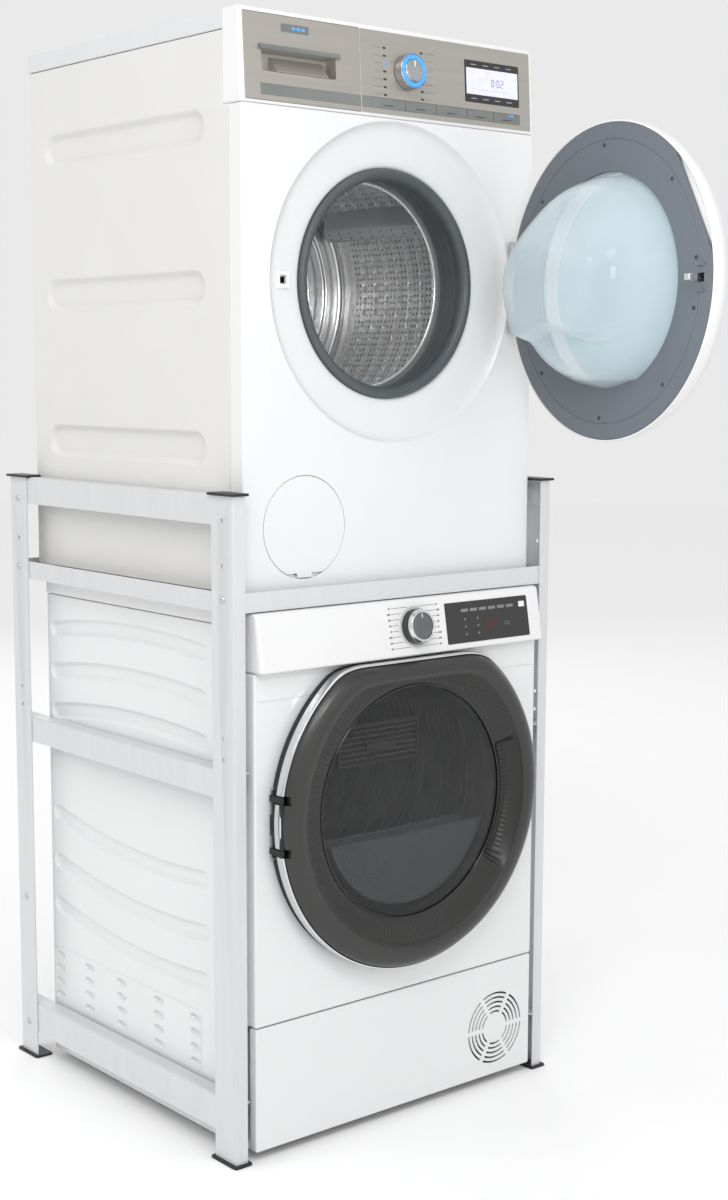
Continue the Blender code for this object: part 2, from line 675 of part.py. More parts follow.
def washer_insides(washer, rubber, plastic, steel, dark, zinc, concrete):
    shape = bmesh.new()
    seal = [
        (0.1772, 0.0185),
        (0.1772, 0.0340),
        (0.1880, 0.0400),
        (0.1880, 0.0520),
        (0.1800, 0.0615),
        (0.1740, 0.0615),
        (0.1830, 0.0510),
        (0.1830, 0.0430),
        (0.1660, 0.0370),
        (0.1560, 0.0400),
        (0.1560, 0.0340),
        (0.1620, 0.0200),
    ]
    turned(shape, seal, PORT)
    finish("washer_door_seal", shape, rubber, washer)

    shape = bmesh.new()
    inner = TUB_RADIUS - 0.006
    bearing = around(0.0155, 16)
    tub = [
        (0.1740, 0.0620),
        (0.1820, 0.0620),
        (0.1820, 0.0700),
        (TUB_RADIUS, 0.0700),
        (TUB_RADIUS, 0.4520),
        (0.0500, 0.4520),
        (0.0500, 0.4800),
        (bearing, 0.4800),
        (bearing, 0.4460),
        (inner, 0.4460),
        (inner, 0.0760),
        (0.1740, 0.0760),
    ]
    turned(shape, tub, PORT)
    finish("washer_tub", shape, plastic, washer)

    shape = bmesh.new()
    wall = DRUM_RADIUS - 0.002
    drum = [
        (0.1580, 0.0840),
        (DRUM_RADIUS, 0.0840),
        (DRUM_RADIUS, 0.4370),
        (0.0148, 0.4370),
        (0.0148, 0.5160),
        (0, 0.5160),
        (0, 0.4340),
        (wall, 0.4340),
        (wall, 0.0865),
        (0.1580, 0.0865),
    ]
    turned(shape, drum, PORT)
    drum = finish("washer_drum", shape, steel, washer, (PORT[0], 0.260, PORT[1]))
    shape = bmesh.new()
    lifters(shape, PORT, wall, (0.100, 0.420), 0.050)
    join(drum, shape, "washer_lifters", washer)

    shape = bmesh.new()
    near, far = BELT_Y[0] - 0.0005, BELT_Y[1] + 0.0005
    bore = around(0.0151, 24)
    pulley = [
        (bore, near),
        (0.030, near),
        (0.030, near + 0.006),
        (0.128, near + 0.006),
        (0.128, near),
        (PULLEY_RADIUS, near),
        (PULLEY_RADIUS, far),
        (0.128, far),
        (0.128, near + 0.009),
        (bore, near + 0.009),
    ]
    turned(shape, pulley, PORT, 24)
    finish("washer_drum_pulley", shape, dark, washer, (PORT[0], near, PORT[1]))

    shape = bmesh.new()
    belt_loop(shape, PORT, PULLEY_RADIUS, MOTOR_AT, MOTOR_PULLEY_RADIUS, BELT_Y)
    finish("washer_drive_belt", shape, rubber, washer)

    shape = bmesh.new()
    bore = around(0.0063, SMALL)
    profile = [(bore, 0.300), (0.058, 0.300), (0.058, 0.465), (bore, 0.465)]
    turned(shape, profile, MOTOR_AT, 20)
    finish("washer_motor", shape, dark, washer)

    shape = bmesh.new()
    profile = [(0, 0.296), (0.0060, 0.296), (0.0060, near), (MOTOR_PULLEY_RADIUS, near)]
    profile += [(MOTOR_PULLEY_RADIUS, far), (0, far)]
    turned(shape, profile, MOTOR_AT, SMALL)
    finish("washer_motor_pulley", shape, zinc, washer, (MOTOR_AT[0], near, MOTOR_AT[1]))

    shape = bmesh.new()
    steps = 8
    angles = [math.radians(104 - 46 * k / steps) for k in range(steps + 1)]
    reach = around(TUB_RADIUS + GAP, 60)
    outline = [(PORT[0] + reach * math.cos(a), PORT[1] + reach * math.sin(a)) for a in angles]
    outline += [(outline[-1][0], 0.790), (outline[0][0], 0.790)]
    prism(shape, outline, "y", 0.090, 0.200)
    finish("washer_counterweight", shape, concrete, washer)

    shape = bmesh.new()
    profile = [(0, 0.545), (0.0125, 0.545), (0.0125, 0.616), (0.0090, 0.616), (0.0090, 0.550), (0, 0.550)]
    turned(shape, profile, INLET_AT, SMALL)
    valve = finish("washer_inlet_valve", shape, plastic, washer)
    shape = bmesh.new()
    box(shape, (0.060, 0.490, 0.745), (0.110, 0.5470, 0.785))
    join(valve, shape, "valve_body", washer)


def lifters(shape, centre, wall, span, height):
    """Three ribs along the inside of a drum."""
    for k in range(3):
        middle = math.radians(120 * k + 30)
        outline = []
        for angle, reach in ((-7, wall + 0.001), (7, wall + 0.001), (3, wall - height), (-3, wall - height)):
            turn = middle + math.radians(angle)
            outline.append((centre[0] + reach * math.cos(turn), centre[1] + reach * math.sin(turn)))
        prism(shape, outline, "y", *span)


# ---- dryer ----
def dryer_lean(z):
    """How far the sloping control panel stands in front of the casing, as a negative y."""
    low, high = PANEL_PROUD
    share = (z - DRYER_SPLIT) / (DRYER_SIZE[2] - DRYER_SPLIT)
    return -low + (low - high) * share


def dryer_casing(dryer, white):
    width, depth, height = DRYER_SIZE
    top_low = height - DRYER_TOP_THICK
    shape = bmesh.new()
    open_box(shape, (0, FRONT_RETURN + GAP, 0), (width, depth, top_low - GAP), SHEET, ("-y", "+z"))
    cabinet = finish("dryer_cabinet", shape, white, dryer)
    step_back(cabinet, dryer, DRYER_SIZE, DRYER_SPLIT)
    feet_and_gland(cabinet, dryer, DRYER_SIZE, -DRYER_BASE, (0.510, 0.090))

    shape = bmesh.new()
    box(shape, (0, CAP_DEPTH + GAP, top_low), (width, depth + 0.004, height))
    finish("dryer_worktop", shape, white, dryer)

    shape = bmesh.new()
    mouth = through(circle(DRYER_PORT, DRYER_PORT_RADIUS))
    panel(shape, (0, width, FLAP_TOP + 0.002, DRYER_SPLIT), FRONT_RETURN, SHEET, [mouth])
    finish("dryer_front_panel", shape, white, dryer)

    shape = bmesh.new()
    knob_hole = through(circle(DRYER_KNOB_AT, around(0.0058, SMALL), SMALL))
    edge = (0, width, DRYER_SPLIT + GAP, height)
    holes = [through(rectangle(*DRYER_DISPLAY)), knob_hole]
    panel(shape, edge, CAP_DEPTH, SHEET, holes, dryer_lean)
    finish("dryer_control_panel", shape, white, dryer)

    hinge = (width / 2, 0.009, 0.010)
    shape = bmesh.new()
    box(shape, (0.001, 0.0, 0.004), (width - 0.001, 0.016, FLAP_TOP))
    flap = finish("dryer_plinth_flap", shape, white, dryer, hinge)
    shape = bmesh.new()
    for inner, outer in zip(GRILLE_RINGS, GRILLE_RINGS[1:]):
        for k in range(GRILLE_SECTORS):
            grille_slot(shape, inner + 0.003, outer - 0.003, 2 * math.pi * k / GRILLE_SECTORS)
    cut(flap, shape, "grille_cutter", dryer)


def grille_slot(shape, inner, outer, start):
    """One curved slot of the air grille, as a cutter through the flap."""
    margin = 0.004 / inner
    steps = 3
    sweep = 2 * math.pi / GRILLE_SECTORS - 2 * margin
    angles = [start + margin + sweep * k / steps for k in range(steps + 1)]
    edge = [(inner, a) for a in angles] + [(outer, a) for a in reversed(angles)]
    outline = [(GRILLE_AT[0] + r * math.cos(a), GRILLE_AT[1] + r * math.sin(a)) for r, a in edge]
    prism(shape, outline, "y", -0.01, 0.03)


def dryer_controls(dryer, glass, grey):
    rise = DRYER_SIZE[2] - DRYER_SPLIT
    angle = math.atan2(PANEL_PROUD[0] - PANEL_PROUD[1], rise)
    shape = bmesh.new()
    profile = [
        (0, -0.0210),
        (0.0230, -0.0200),
        (0.0250, -0.0180),
        (0.0280, -0.0030),
        (0.0280, -0.0008),
        (0.0050, -0.0008),
        (0.0050, 0.0140),
        (0, 0.0140),
    ]
    turned(shape, profile, (0, 0), 24)
    knob = finish("dryer_program_knob", shape, grey, dryer)
    knob.location = (DRYER_KNOB_AT[0], dryer_lean(DRYER_KNOB_AT[1]), DRYER_KNOB_AT[1])
    knob.rotation_euler = (-angle, 0, 0)

    left, right, low, high = DRYER_DISPLAY
    play = 0.0005
    half_width = (right - left) / 2 - play
    half_height = (high - low) / 2 / math.cos(angle) - 2 * play
    shape = bmesh.new()
    box(shape, (-half_width, -0.0008, -half_height), (half_width, 0.0024, half_height))
    display = finish("dryer_display", shape, glass, dryer)
    display.location = ((left + right) / 2, dryer_lean((low + high) / 2), (low + high) / 2)
    display.rotation_euler = (-angle, 0, 0)


def dryer_door_room(item, dryer):
    """Cuts the finger grip and the hinge's room out of the door's edge."""
    grip_right = DRYER_PORT[0] + 0.290
    middle = DRYER_PORT[1]
    shape = bmesh.new()
    box(shape, (grip_right - 0.052, -0.0300, middle - 0.050), (grip_right, 0.010, middle + 0.050))
    box(shape, (-0.010, -0.060, middle - 0.055), (DRYER_HINGE[0] + 0.0135, 0.010, middle + 0.055))
    cut(item, shape, item.name + "_room", dryer)


def dryer_door(dryer, dark, glass, clear, zinc):
    flat = DRYER_DOOR_FLAT
    pin_x, pin_y = DRYER_HINGE
    middle = DRYER_PORT[1]
    pivot = (pin_x, pin_y, middle)
    shape = bmesh.new()
    ring = [
        (DRYER_DOOR_RADIUS, -0.0060, flat),
        (DRYER_DOOR_RADIUS, -0.0300, flat),
        (0.2620, -0.0420, flat - 0.008),
        (0.2350, -0.0460, flat - 0.020),
        (0.1900, -0.0260),
        (0.1920, -0.0190),
        (0.2350, -0.0400, flat - 0.024),
        (0.2590, -0.0375, flat - 0.012),
        (0.2680, -0.0280, flat - 0.004),
        (0.2680, -0.0060, flat - 0.004),
    ]
    turned(shape, ring, DRYER_PORT)
    ring = finish("dryer_door_ring", shape, dark, dryer, pivot)
    dryer_door_room(ring, dryer)

    shape = bmesh.new()
    window = [(0.1880, -0.0230), (0.1000, -0.0290), (0, -0.0310)]
    window += [(0, -0.0280), (0.1000, -0.0260), (0.1880, -0.0200)]
    turned(shape, window, DRYER_PORT)
    finish("dryer_door_window", shape, glass, dryer, pivot)

    shape = bmesh.new()
    bowl = [
        (0.2660, -0.0095, flat - 0.006),
        (0.2660, -0.0035, flat - 0.006),
        (0.1980, -0.0035),
        (0.1880, 0.0330),
        (0.1720, 0.0420),
        (0, 0.0420),
        (0, 0.0390),
        (0.1700, 0.0390),
        (0.1840, 0.0320),
        (0.1930, -0.0095),
    ]
    turned(shape, bowl, DRYER_PORT)
    liner = finish("dryer_door_liner", shape, clear, dryer, pivot)
    dryer_door_room(liner, dryer)

    shape = bmesh.new()
    bore = around(0.0040, SMALL)
    ends = (middle - 0.029, middle + 0.029)
    knuckle = [(bore, ends[0]), (0.0080, ends[0]), (0.0080, ends[1]), (bore, ends[1])]
    turned(shape, knuckle, (pin_x, pin_y), SMALL, "z")
    join(liner, shape, "liner_knuckle", dryer)
    arm = [(0.0055, -0.032), (0.0125, -0.032), (0.0125, -0.0090)]
    arm += [(0.0200, -0.0090), (0.0200, -0.0045), (0.0055, -0.0045)]
    shape = bmesh.new()
    prism(shape, [(pin_x + x, y) for x, y in arm], "z", middle - 0.027, middle + 0.027)
    join(liner, shape, "liner_arm", dryer)

    shape = bmesh.new()
    box(shape, (pin_x - 0.014, -0.0028, middle - 0.050), (pin_x + 0.010, -0.0004, middle + 0.050))
    hinge = finish("dryer_door_hinge", shape, zinc, dryer)
    shape = bmesh.new()
    hinge_pin(shape, (pin_x, pin_y), middle, 0.050, 0.0297, 0.0075, 0.0037)
    join(hinge, shape, "dryer_hinge_pin", dryer)
    shape = bmesh.new()
    for low in (middle - 0.049, middle + 0.031):
        box(shape, (pin_x - 0.004, pin_y + 0.0040, low), (pin_x + 0.004, -0.0015, low + 0.018))
    join(hinge, shape, "dryer_hinge_webs", dryer)

    shape = bmesh.new()
    trough(shape, 0.172, 0.169, -0.055, (-0.0150, 0.0320), 0.003)
    finish("dryer_water_tank", shape, clear, dryer, pivot)


def trough(shape, outer, inner, rise, span, wall):
    """A tank with an arc-shaped floor, open along its straight top edge."""
    steps = 12
    loops = []
    for radius, y in ((outer, span[0]), (outer, span[1]), (inner, span[1] - wall), (inner, span[0] + wall)):
        begin = math.pi - math.asin(rise / radius)
        end = 3 * math.pi - begin
        points = []
        for k in range(steps + 1):
            angle = begin + (end - begin) * k / steps
            x, z = radius * math.cos(angle), radius * math.sin(angle)
            points.append((DRYER_PORT[0] + x, y, DRYER_PORT[1] + z))
        loops.append([shape.verts.new(point) for point in points])
    for loop in loops:
        shape.faces.new(loop)
    outer_front, outer_back, inner_back, inner_front = loops
    for first, second in ((outer_front, outer_back), (inner_back, inner_front)):
        for k in range(steps):
            shape.faces.new((first[k], first[k + 1], second[k + 1], second[k]))
    for first, second in ((outer_front, inner_front), (outer_back, inner_back)):
        shape.faces.new((first[0], first[-1], second[-1], second[0]))
    for k in (0, -1):
        shape.faces.new((outer_front[k], outer_back[k], inner_back[k], inner_front[k]))


def dryer_insides(dryer, steel, rubber, dark, aluminium, white):
    shape = bmesh.new()
    radius = DRYER_DRUM_RADIUS
    drum = [
        (0.2150, 0.0750),
        (radius, 0.0750),
        (radius, 0.5200),
        (0.0120, 0.5200),
        (0.0120, 0.5600),
        (0, 0.5600),
        (0, 0.5170),
        (radius - 0.002, 0.5170),
        (radius - 0.002, 0.0775),
        (0.2150, 0.0775),
    ]
    turned(shape, drum, DRYER_PORT, DRYER_DRUM_ROUND)
    drum = finish("dryer_drum", shape, steel, dryer, (DRYER_PORT[0], 0.300, DRYER_PORT[1]))
    shape = bmesh.new()
    lifters(shape, DRYER_PORT, radius - 0.002, (0.090, 0.500), 0.045)
    join(drum, shape, "dryer_lifters", dryer)

    shape = bmesh.new()
    belt_loop(shape, DRYER_PORT, radius, DRYER_MOTOR_AT, SHAFT_RADIUS, DRYER_BELT_Y)
    finish("dryer_drive_belt", shape, rubber, dryer)

    shape = bmesh.new()
    bore = around(SHAFT_RADIUS + GAP, SMALL)
    turned(shape, [(bore, 0.325), (0.055, 0.325), (0.055, 0.455), (bore, 0.455)], DRYER_MOTOR_AT, 20)
    finish("dryer_motor", shape, dark, dryer)

    shape = bmesh.new()
    near, far = DRYER_BELT_Y[0] - 0.0010, DRYER_BELT_Y[1] + 0.0010
    rotor = [
        (0, near - 0.004),
        (0.009, near - 0.004),
        (0.009, near),
        (SHAFT_RADIUS, near),
        (SHAFT_RADIUS, far),
        (0.009, far),
        (0.009, far + 0.003),
        (SHAFT_RADIUS - GAP, far + 0.003),
        (SHAFT_RADIUS - GAP, 0.470),
        (0.068, 0.470),
        (0.068, 0.473),
        (0, 0.473),
    ]
    turned(shape, rotor, DRYER_MOTOR_AT, 16)
    fan = finish("dryer_fan_rotor", shape, aluminium, dryer, (DRYER_MOTOR_AT[0], near, DRYER_MOTOR_AT[1]))
    shape = bmesh.new()
    blades = 8
    for k in range(blades):
        turn = 2 * math.pi * k / blades
        outline = []
        for along, across in ((0.034, -0.0012), (0.062, -0.0012), (0.062, 0.0012), (0.034, 0.0012)):
            x = along * math.cos(turn) - across * math.sin(turn)
            z = along * math.sin(turn) + across * math.cos(turn)
            outline.append((DRYER_MOTOR_AT[0] + x, DRYER_MOTOR_AT[1] + z))
        prism(shape, outline, "y", 0.4720, 0.500)
    join(fan, shape, "fan_blades", dryer)

    shape = bmesh.new()
    box(shape, (0.040, 0.055, 0.020), (0.380, 0.260, 0.180))
    finish("dryer_condenser", shape, aluminium, dryer)

    shape = bmesh.new()
    low = DRYER_PORT[1] - DRYER_PORT_RADIUS - 0.100
    box(shape, (DRYER_PORT[0] - 0.110, 0.038, low), (DRYER_PORT[0] + 0.110, 0.062, low + 0.095))
    finish("dryer_lint_filter", shape, white, dryer)


def build():
    clear_scene()
    steel = surface("stand_aluminium", (0.62, 0.63, 0.64), 0.38, 0.9)
    zinc = surface("zinc_plate", (0.62, 0.62, 0.60), 0.35, 1.0)
    board = surface("board_grey", (0.70, 0.70, 0.69), 0.55)
    white = surface("white_enamel", (0.86, 0.86, 0.85), 0.28)
    pale = surface("worktop_grey", (0.66, 0.67, 0.68), 0.4)
    silver = surface("fascia_silver", (0.42, 0.39, 0.35), 0.35, 0.7)
    grey = surface("grey_plastic", (0.14, 0.16, 0.18), 0.45)
    strip = surface("key_strip", (0.20, 0.21, 0.20), 0.35, 0.3)
    display_glass = surface("display_glass", (0.01, 0.01, 0.012), 0.08)
    bowl_glass = surface("bowl_glass", (0.72, 0.82, 0.87), 0.04, 0.0, 0.35)
    tinted = surface("tinted_window", (0.03, 0.03, 0.03), 0.06, 0.0, 0.6)
    clear = surface("clear_plastic", (0.75, 0.78, 0.80), 0.1, 0.0, 0.4)
    chrome = surface("bright_metal", (0.8, 0.8, 0.8), 0.15, 1.0)
    rubber = surface("dark_rubber", (0.05, 0.055, 0.06), 0.6)
    stainless = surface("stainless_drum", (0.58, 0.58, 0.57), 0.22, 1.0)
    plastic = surface("tub_plastic", (0.55, 0.55, 0.53), 0.6)
    anthracite = surface("door_anthracite", (0.03, 0.03, 0.03), 0.45)
    concrete = surface("concrete", (0.40, 0.39, 0.37), 0.9)

    stand(steel, board)

    washer = anchor("washer", WASHER_AT)
    washer_casing(washer, white, pale, silver)
    washer_controls(washer, silver, display_glass, strip)
    washer_drawer(washer, silver, white)
    washer_service(washer, white, grey)
    hinge_at = (PORT[0] + HINGE_OFFSET, -HINGE_PROUD, PORT[1])
    door = anchor("washer_door_pin", hinge_at, washer, (0, 0, DOOR_OPEN))
    washer_door(door, white, grey, bowl_glass, chrome)
    washer_hinge(washer, zinc)
    washer_insides(washer, rubber, plastic, stainless, anthracite, zinc, concrete)

    dryer = anchor("dryer", DRYER_AT)
    dryer_casing(dryer, white)
    dryer_controls(dryer, display_glass, grey)
    dryer_door(dryer, anthracite, tinted, clear, zinc)
    dryer_insides(dryer, stainless, rubber, anthracite, aluminium=zinc, white=white)


build()
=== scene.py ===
import json
import math

import bmesh
import bpy
from mathutils import Matrix, Vector


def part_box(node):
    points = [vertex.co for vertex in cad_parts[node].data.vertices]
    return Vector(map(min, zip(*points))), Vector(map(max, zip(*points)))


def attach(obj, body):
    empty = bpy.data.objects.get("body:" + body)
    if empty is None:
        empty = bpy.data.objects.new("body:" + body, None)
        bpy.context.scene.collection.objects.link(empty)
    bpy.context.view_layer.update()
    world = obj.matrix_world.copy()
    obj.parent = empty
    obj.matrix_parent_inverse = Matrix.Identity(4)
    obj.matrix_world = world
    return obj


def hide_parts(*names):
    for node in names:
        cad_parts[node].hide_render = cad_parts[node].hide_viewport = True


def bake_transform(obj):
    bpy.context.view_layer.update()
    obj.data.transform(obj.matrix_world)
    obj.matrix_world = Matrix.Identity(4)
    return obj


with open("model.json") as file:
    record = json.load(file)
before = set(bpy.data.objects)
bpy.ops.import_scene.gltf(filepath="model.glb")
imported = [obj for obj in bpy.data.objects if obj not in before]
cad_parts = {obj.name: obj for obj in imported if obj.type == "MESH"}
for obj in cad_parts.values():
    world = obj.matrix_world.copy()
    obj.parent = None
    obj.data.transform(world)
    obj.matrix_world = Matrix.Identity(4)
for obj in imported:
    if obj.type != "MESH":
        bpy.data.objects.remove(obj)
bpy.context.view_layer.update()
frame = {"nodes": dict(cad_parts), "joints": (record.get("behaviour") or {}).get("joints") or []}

ROOT = "stand_and_casings"


# ---- places, read from the frame ----
def joint(name):
    return next(item for item in frame["joints"] if item["name"] == name)


def local_box(node, origin):
    low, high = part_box(node)
    return low - origin, high - origin


def middle(node, origin):
    low, high = local_box(node, origin)
    return (low + high) / 2


def turn(degrees, axis):
    return Matrix.Rotation(math.radians(degrees), 4, axis)


def soft_step(t):
    """Eases from 0 to 1 and is level at both ends."""
    return t * t * (3 - 2 * t)


WASHER_SIZE = Vector((0.598, 0.600, 0.848))
DRYER_SIZE = Vector((0.596, 0.600, 0.846))
WASHER_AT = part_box("washer_front_panel")[0]
dryer_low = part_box("dryer_front_panel")[0]
DRYER_AT = Vector((dryer_low.x, dryer_low.y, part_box("dryer_worktop")[1].z - DRYER_SIZE.z))
WASHER = Matrix.Translation(WASHER_AT)
DRYER = Matrix.Translation(DRYER_AT)

port = middle("washer_door_seal", WASHER_AT)
PORT = (port.x, port.z)
mouth = middle("dryer_drum", DRYER_AT)
DRYER_PORT = (mouth.x, mouth.z)

# Turned frames: a piece modelled facing -Y is carried to another side of a casing.
LEFT = turn(-90, "Z")
RIGHT = turn(90, "Z")
BACK = turn(180, "Z")
BELOW = turn(90, "X")
ABOVE = turn(-90, "X")

HINGE_OFFSET = 0.2455  # from the door's centre to its pin
HINGE_PROUD = 0.012  # pin in front of the casing
door_joint = joint("washer_door_swing")
DOOR = Matrix.Translation(Vector(door_joint["pos_m"])) @ turn(-door_joint["range_deg"][0], "Z")
DOOR = DOOR @ Matrix.Translation((-HINGE_OFFSET, HINGE_PROUD, 0))

WASHER_SPLIT = 0.711  # top of the front panel
CAP_DEPTH = 0.045  # depth of a control panel's sides
FASCIA_LEAN = 0.008
SHEET_METAL = 0.0012
SKIRT = 0.0085  # the washer's sheets reach this far below its floor
WASHER_SHELL_TOP, DRYER_SHELL_TOP = 0.0303, 0.0253  # from a machine's top down to its casing's edge


def fascia_lean(y, z):
    share = (z - WASHER_SPLIT) / (WASHER_SIZE.z - WASHER_SPLIT)
    return FASCIA_LEAN * share * max(0.0, 1.0 - max(y, 0.0) / CAP_DEPTH)


DRYER_SPLIT = 0.755
PANEL_PROUD = (0.020, 0.004)  # control panel's lower and upper edge, in front of the casing


def panel_lean(y, z):
    share = (z - DRYER_SPLIT) / (DRYER_SIZE.z - DRYER_SPLIT)
    forward = -PANEL_PROUD[0] + (PANEL_PROUD[0] - PANEL_PROUD[1]) * share
    return forward * max(0.0, 1.0 - max(y, 0.0) / CAP_DEPTH)


# ---- materials ----
def finish(name, colour, roughness, metallic=0.0, spread=0.03, scale=9.0, stretch=(1, 1, 1),
           grain=0.02, grain_scale=900.0, uneven=0.05, coat=0.0, coat_roughness=0.05, edge_paling=0.0):
    """A surface with slow colour variation, uneven gloss, a fine grain and paler sharp outer edges."""
    material = bpy.data.materials.new(name)
    material.use_nodes = True
    nodes, links = material.node_tree.nodes, material.node_tree.links
    shader = nodes["Principled BSDF"]
    shader.inputs["Metallic"].default_value = metallic
    shader.inputs["Coat Weight"].default_value = coat
    shader.inputs["Coat Roughness"].default_value = coat_roughness
    place = nodes.new("ShaderNodeTexCoord")
    mapping = nodes.new("ShaderNodeMapping")
    mapping.inputs["Scale"].default_value = stretch
    links.new(place.outputs["Object"], mapping.inputs["Vector"])

    def noise(size, detail):
        node = nodes.new("ShaderNodeTexNoise")
        node.inputs["Scale"].default_value = size
        node.inputs["Detail"].default_value = detail
        links.new(mapping.outputs["Vector"], node.inputs["Vector"])
        return node.outputs["Fac"]

    slow, fine = noise(scale, 4.0), noise(grain_scale, 2.0)
    ramp = nodes.new("ShaderNodeValToRGB")
    ramp.color_ramp.elements[0].position = 0.3
    ramp.color_ramp.elements[1].position = 0.7
    ramp.color_ramp.elements[0].color = (*[value * (1 - spread) for value in colour], 1)
    ramp.color_ramp.elements[1].color = (*[min(1.0, value * (1 + spread)) for value in colour], 1)
    links.new(slow, ramp.inputs["Fac"])
    colour_out = ramp.outputs["Color"]
    # paler where the surface is sharply convex, along its outer edges
    if edge_paling:
        edges = nodes.new("ShaderNodeNewGeometry")
        mask = nodes.new("ShaderNodeMapRange")
        mask.inputs["From Min"].default_value = 0.52
        mask.inputs["From Max"].default_value = 0.62
        mask.inputs["To Max"].default_value = edge_paling
        links.new(edges.outputs["Pointiness"], mask.inputs["Value"])
        blend = nodes.new("ShaderNodeMix")
        blend.data_type = "RGBA"
        blend.inputs["B"].default_value = (*[min(1.0, value * 1.6 + 0.05) for value in colour], 1)
        links.new(mask.outputs["Result"], blend.inputs["Factor"])
        links.new(colour_out, blend.inputs["A"])
        colour_out = blend.outputs["Result"]
    links.new(colour_out, shader.inputs["Base Color"])
    gloss = nodes.new("ShaderNodeMapRange")
    gloss.inputs["To Min"].default_value = max(0.02, roughness - uneven)
    gloss.inputs["To Max"].default_value = min(1.0, roughness + uneven)
    links.new(slow, gloss.inputs["Value"])
    links.new(gloss.outputs["Result"], shader.inputs["Roughness"])
    bump = nodes.new("ShaderNodeBump")
    bump.inputs["Strength"].default_value = grain
    bump.inputs["Distance"].default_value = 0.0005
    links.new(fine, bump.inputs["Height"])
    links.new(bump.outputs["Normal"], shader.inputs["Normal"])
    return material


def clear_finish(name, colour, roughness, seen_through, at_edges, spread=0.04):
    """A see-through surface, denser where it is seen edge on."""
    material = finish(name, colour, roughness, spread=spread, scale=5.0, grain=0.0, uneven=0.01)
    nodes, links = material.node_tree.nodes, material.node_tree.links
    shader = nodes["Principled BSDF"]
    facing = nodes.new("ShaderNodeLayerWeight")
    facing.inputs["Blend"].default_value = 0.35
    density = nodes.new("ShaderNodeMapRange")
    density.inputs["To Min"].default_value = seen_through
    density.inputs["To Max"].default_value = at_edges
    links.new(facing.outputs["Facing"], density.inputs["Value"])
    links.new(density.outputs["Result"], shader.inputs["Alpha"])
    return material


def lit_finish(name, colour, strength, glow):
    material = finish(name, colour, 0.25, spread=0.08, scale=60.0, grain=0.0)
    shader = material.node_tree.nodes["Principled BSDF"]
    shader.inputs["Emission Color"].default_value = (*glow, 1)
    shader.inputs["Emission Strength"].default_value = strength
    return material


enamel = finish("enamel white", (0.76, 0.765, 0.77), 0.30, spread=0.008, grain=0.05, grain_scale=420,
                coat=0.35)
# a darker, warmer copy of the white enamel: painted shade for the washer's sides and back, which face away
# from the light
shaded_side_enamel = finish("enamel painted side shade", (0.70, 0.695, 0.672), 0.34, spread=0.012, grain=0.06,
                     grain_scale=420, coat=0.2)
white_plastic = finish("plastic white", (0.78, 0.78, 0.78), 0.36, spread=0.01, grain=0.05, grain_scale=1400)
pale_plastic = finish("plastic pale grey", (0.66, 0.67, 0.68), 0.42, spread=0.015, grain=0.08,
                      grain_scale=1400)
fascia_silver = finish("fascia silver", (0.42, 0.40, 0.365), 0.36, 0.55, spread=0.03, scale=3.0,
                       stretch=(1, 1, 60), grain=0.05, grain_scale=600)
strip_grey = finish("strip grey", (0.20, 0.215, 0.205), 0.18, 0.35, spread=0.18, scale=5.0, coat=0.6)
# the stand's metal is drawn paler along its sharp outer edges
aluminium = finish("stand aluminium", (0.58, 0.585, 0.60), 0.46, 0.30, spread=0.035, scale=6.0,
                   stretch=(12, 12, 1), grain=0.10, grain_scale=700, edge_paling=0.25)
end_cap_black = finish("cap black", (0.012, 0.012, 0.013), 0.5, spread=0.15, grain=0.2, grain_scale=1500)
bolt_zinc = finish("zinc", (0.55, 0.56, 0.58), 0.30, 0.9, spread=0.08, scale=120.0, grain=0.1)
chrome = finish("chrome", (0.74, 0.75, 0.76), 0.12, 1.0, spread=0.02, grain=0.01)
board_grey = finish("board grey", (0.62, 0.62, 0.61), 0.6, spread=0.08, scale=60.0, grain=0.25,
                    grain_scale=500)
gasket_grey = finish("seal rubber", (0.075, 0.085, 0.092), 0.52, spread=0.10, scale=14.0, grain=0.10,
                     coat=0.08)
rubber_black = finish("rubber black", (0.02, 0.02, 0.021), 0.7, spread=0.15, grain=0.3, grain_scale=900)
steel = finish("drum steel", (0.88, 0.88, 0.885), 0.28, 0.45, spread=0.05, scale=18.0,
               stretch=(1, 8, 1), grain=0.02, grain_scale=500, uneven=0.06)
back_steel = finish("drum back steel", (0.80, 0.80, 0.80), 0.20, 0.75, spread=0.05, scale=20.0, grain=0.02)
lifter_grey = finish("lifter grey", (0.62, 0.635, 0.65), 0.38, spread=0.04, grain=0.10, grain_scale=800)
ring_grey = finish("door ring grey", (0.135, 0.155, 0.178), 0.46, spread=0.03, scale=6.0, grain=0.12,
                   grain_scale=1600)
bowl_glass = clear_finish("bowl glass", (0.78, 0.89, 0.93), 0.04, 0.10, 0.62)
cover_blue = finish("door cover blue", (0.52, 0.65, 0.71), 0.22, spread=0.07, scale=3.0, grain=0.0,
                    coat=0.5)
tinted = clear_finish("tinted window", (0.010, 0.010, 0.011), 0.03, 0.30, 0.85)
clear_plastic = clear_finish("clear plastic", (0.30, 0.32, 0.33), 0.05, 0.04, 0.45)
tank_plastic = clear_finish("tank plastic", (0.74, 0.77, 0.80), 0.05, 0.14, 0.85)
black_gloss = finish("black gloss", (0.008, 0.008, 0.009), 0.10, spread=0.2, grain=0.01, coat=0.6)
anthracite = finish("door anthracite", (0.040, 0.040, 0.039), 0.33, 0.35, spread=0.10, scale=3.0,
                    grain=0.05, grain_scale=1200, coat=0.15)
dark_ribs = finish("door ribs", (0.016, 0.016, 0.015), 0.40, spread=0.10, grain=0.10, grain_scale=1400)
knob_face = finish("knob face", (0.16, 0.165, 0.17), 0.34, 0.7, spread=0.06, scale=8.0,
                   stretch=(1, 1, 50), grain=0.06)
knob_metal = finish("knob metal", (0.45, 0.45, 0.45), 0.26, 0.9, spread=0.10, scale=30.0,
                    stretch=(1, 1, 8), grain=0.05)
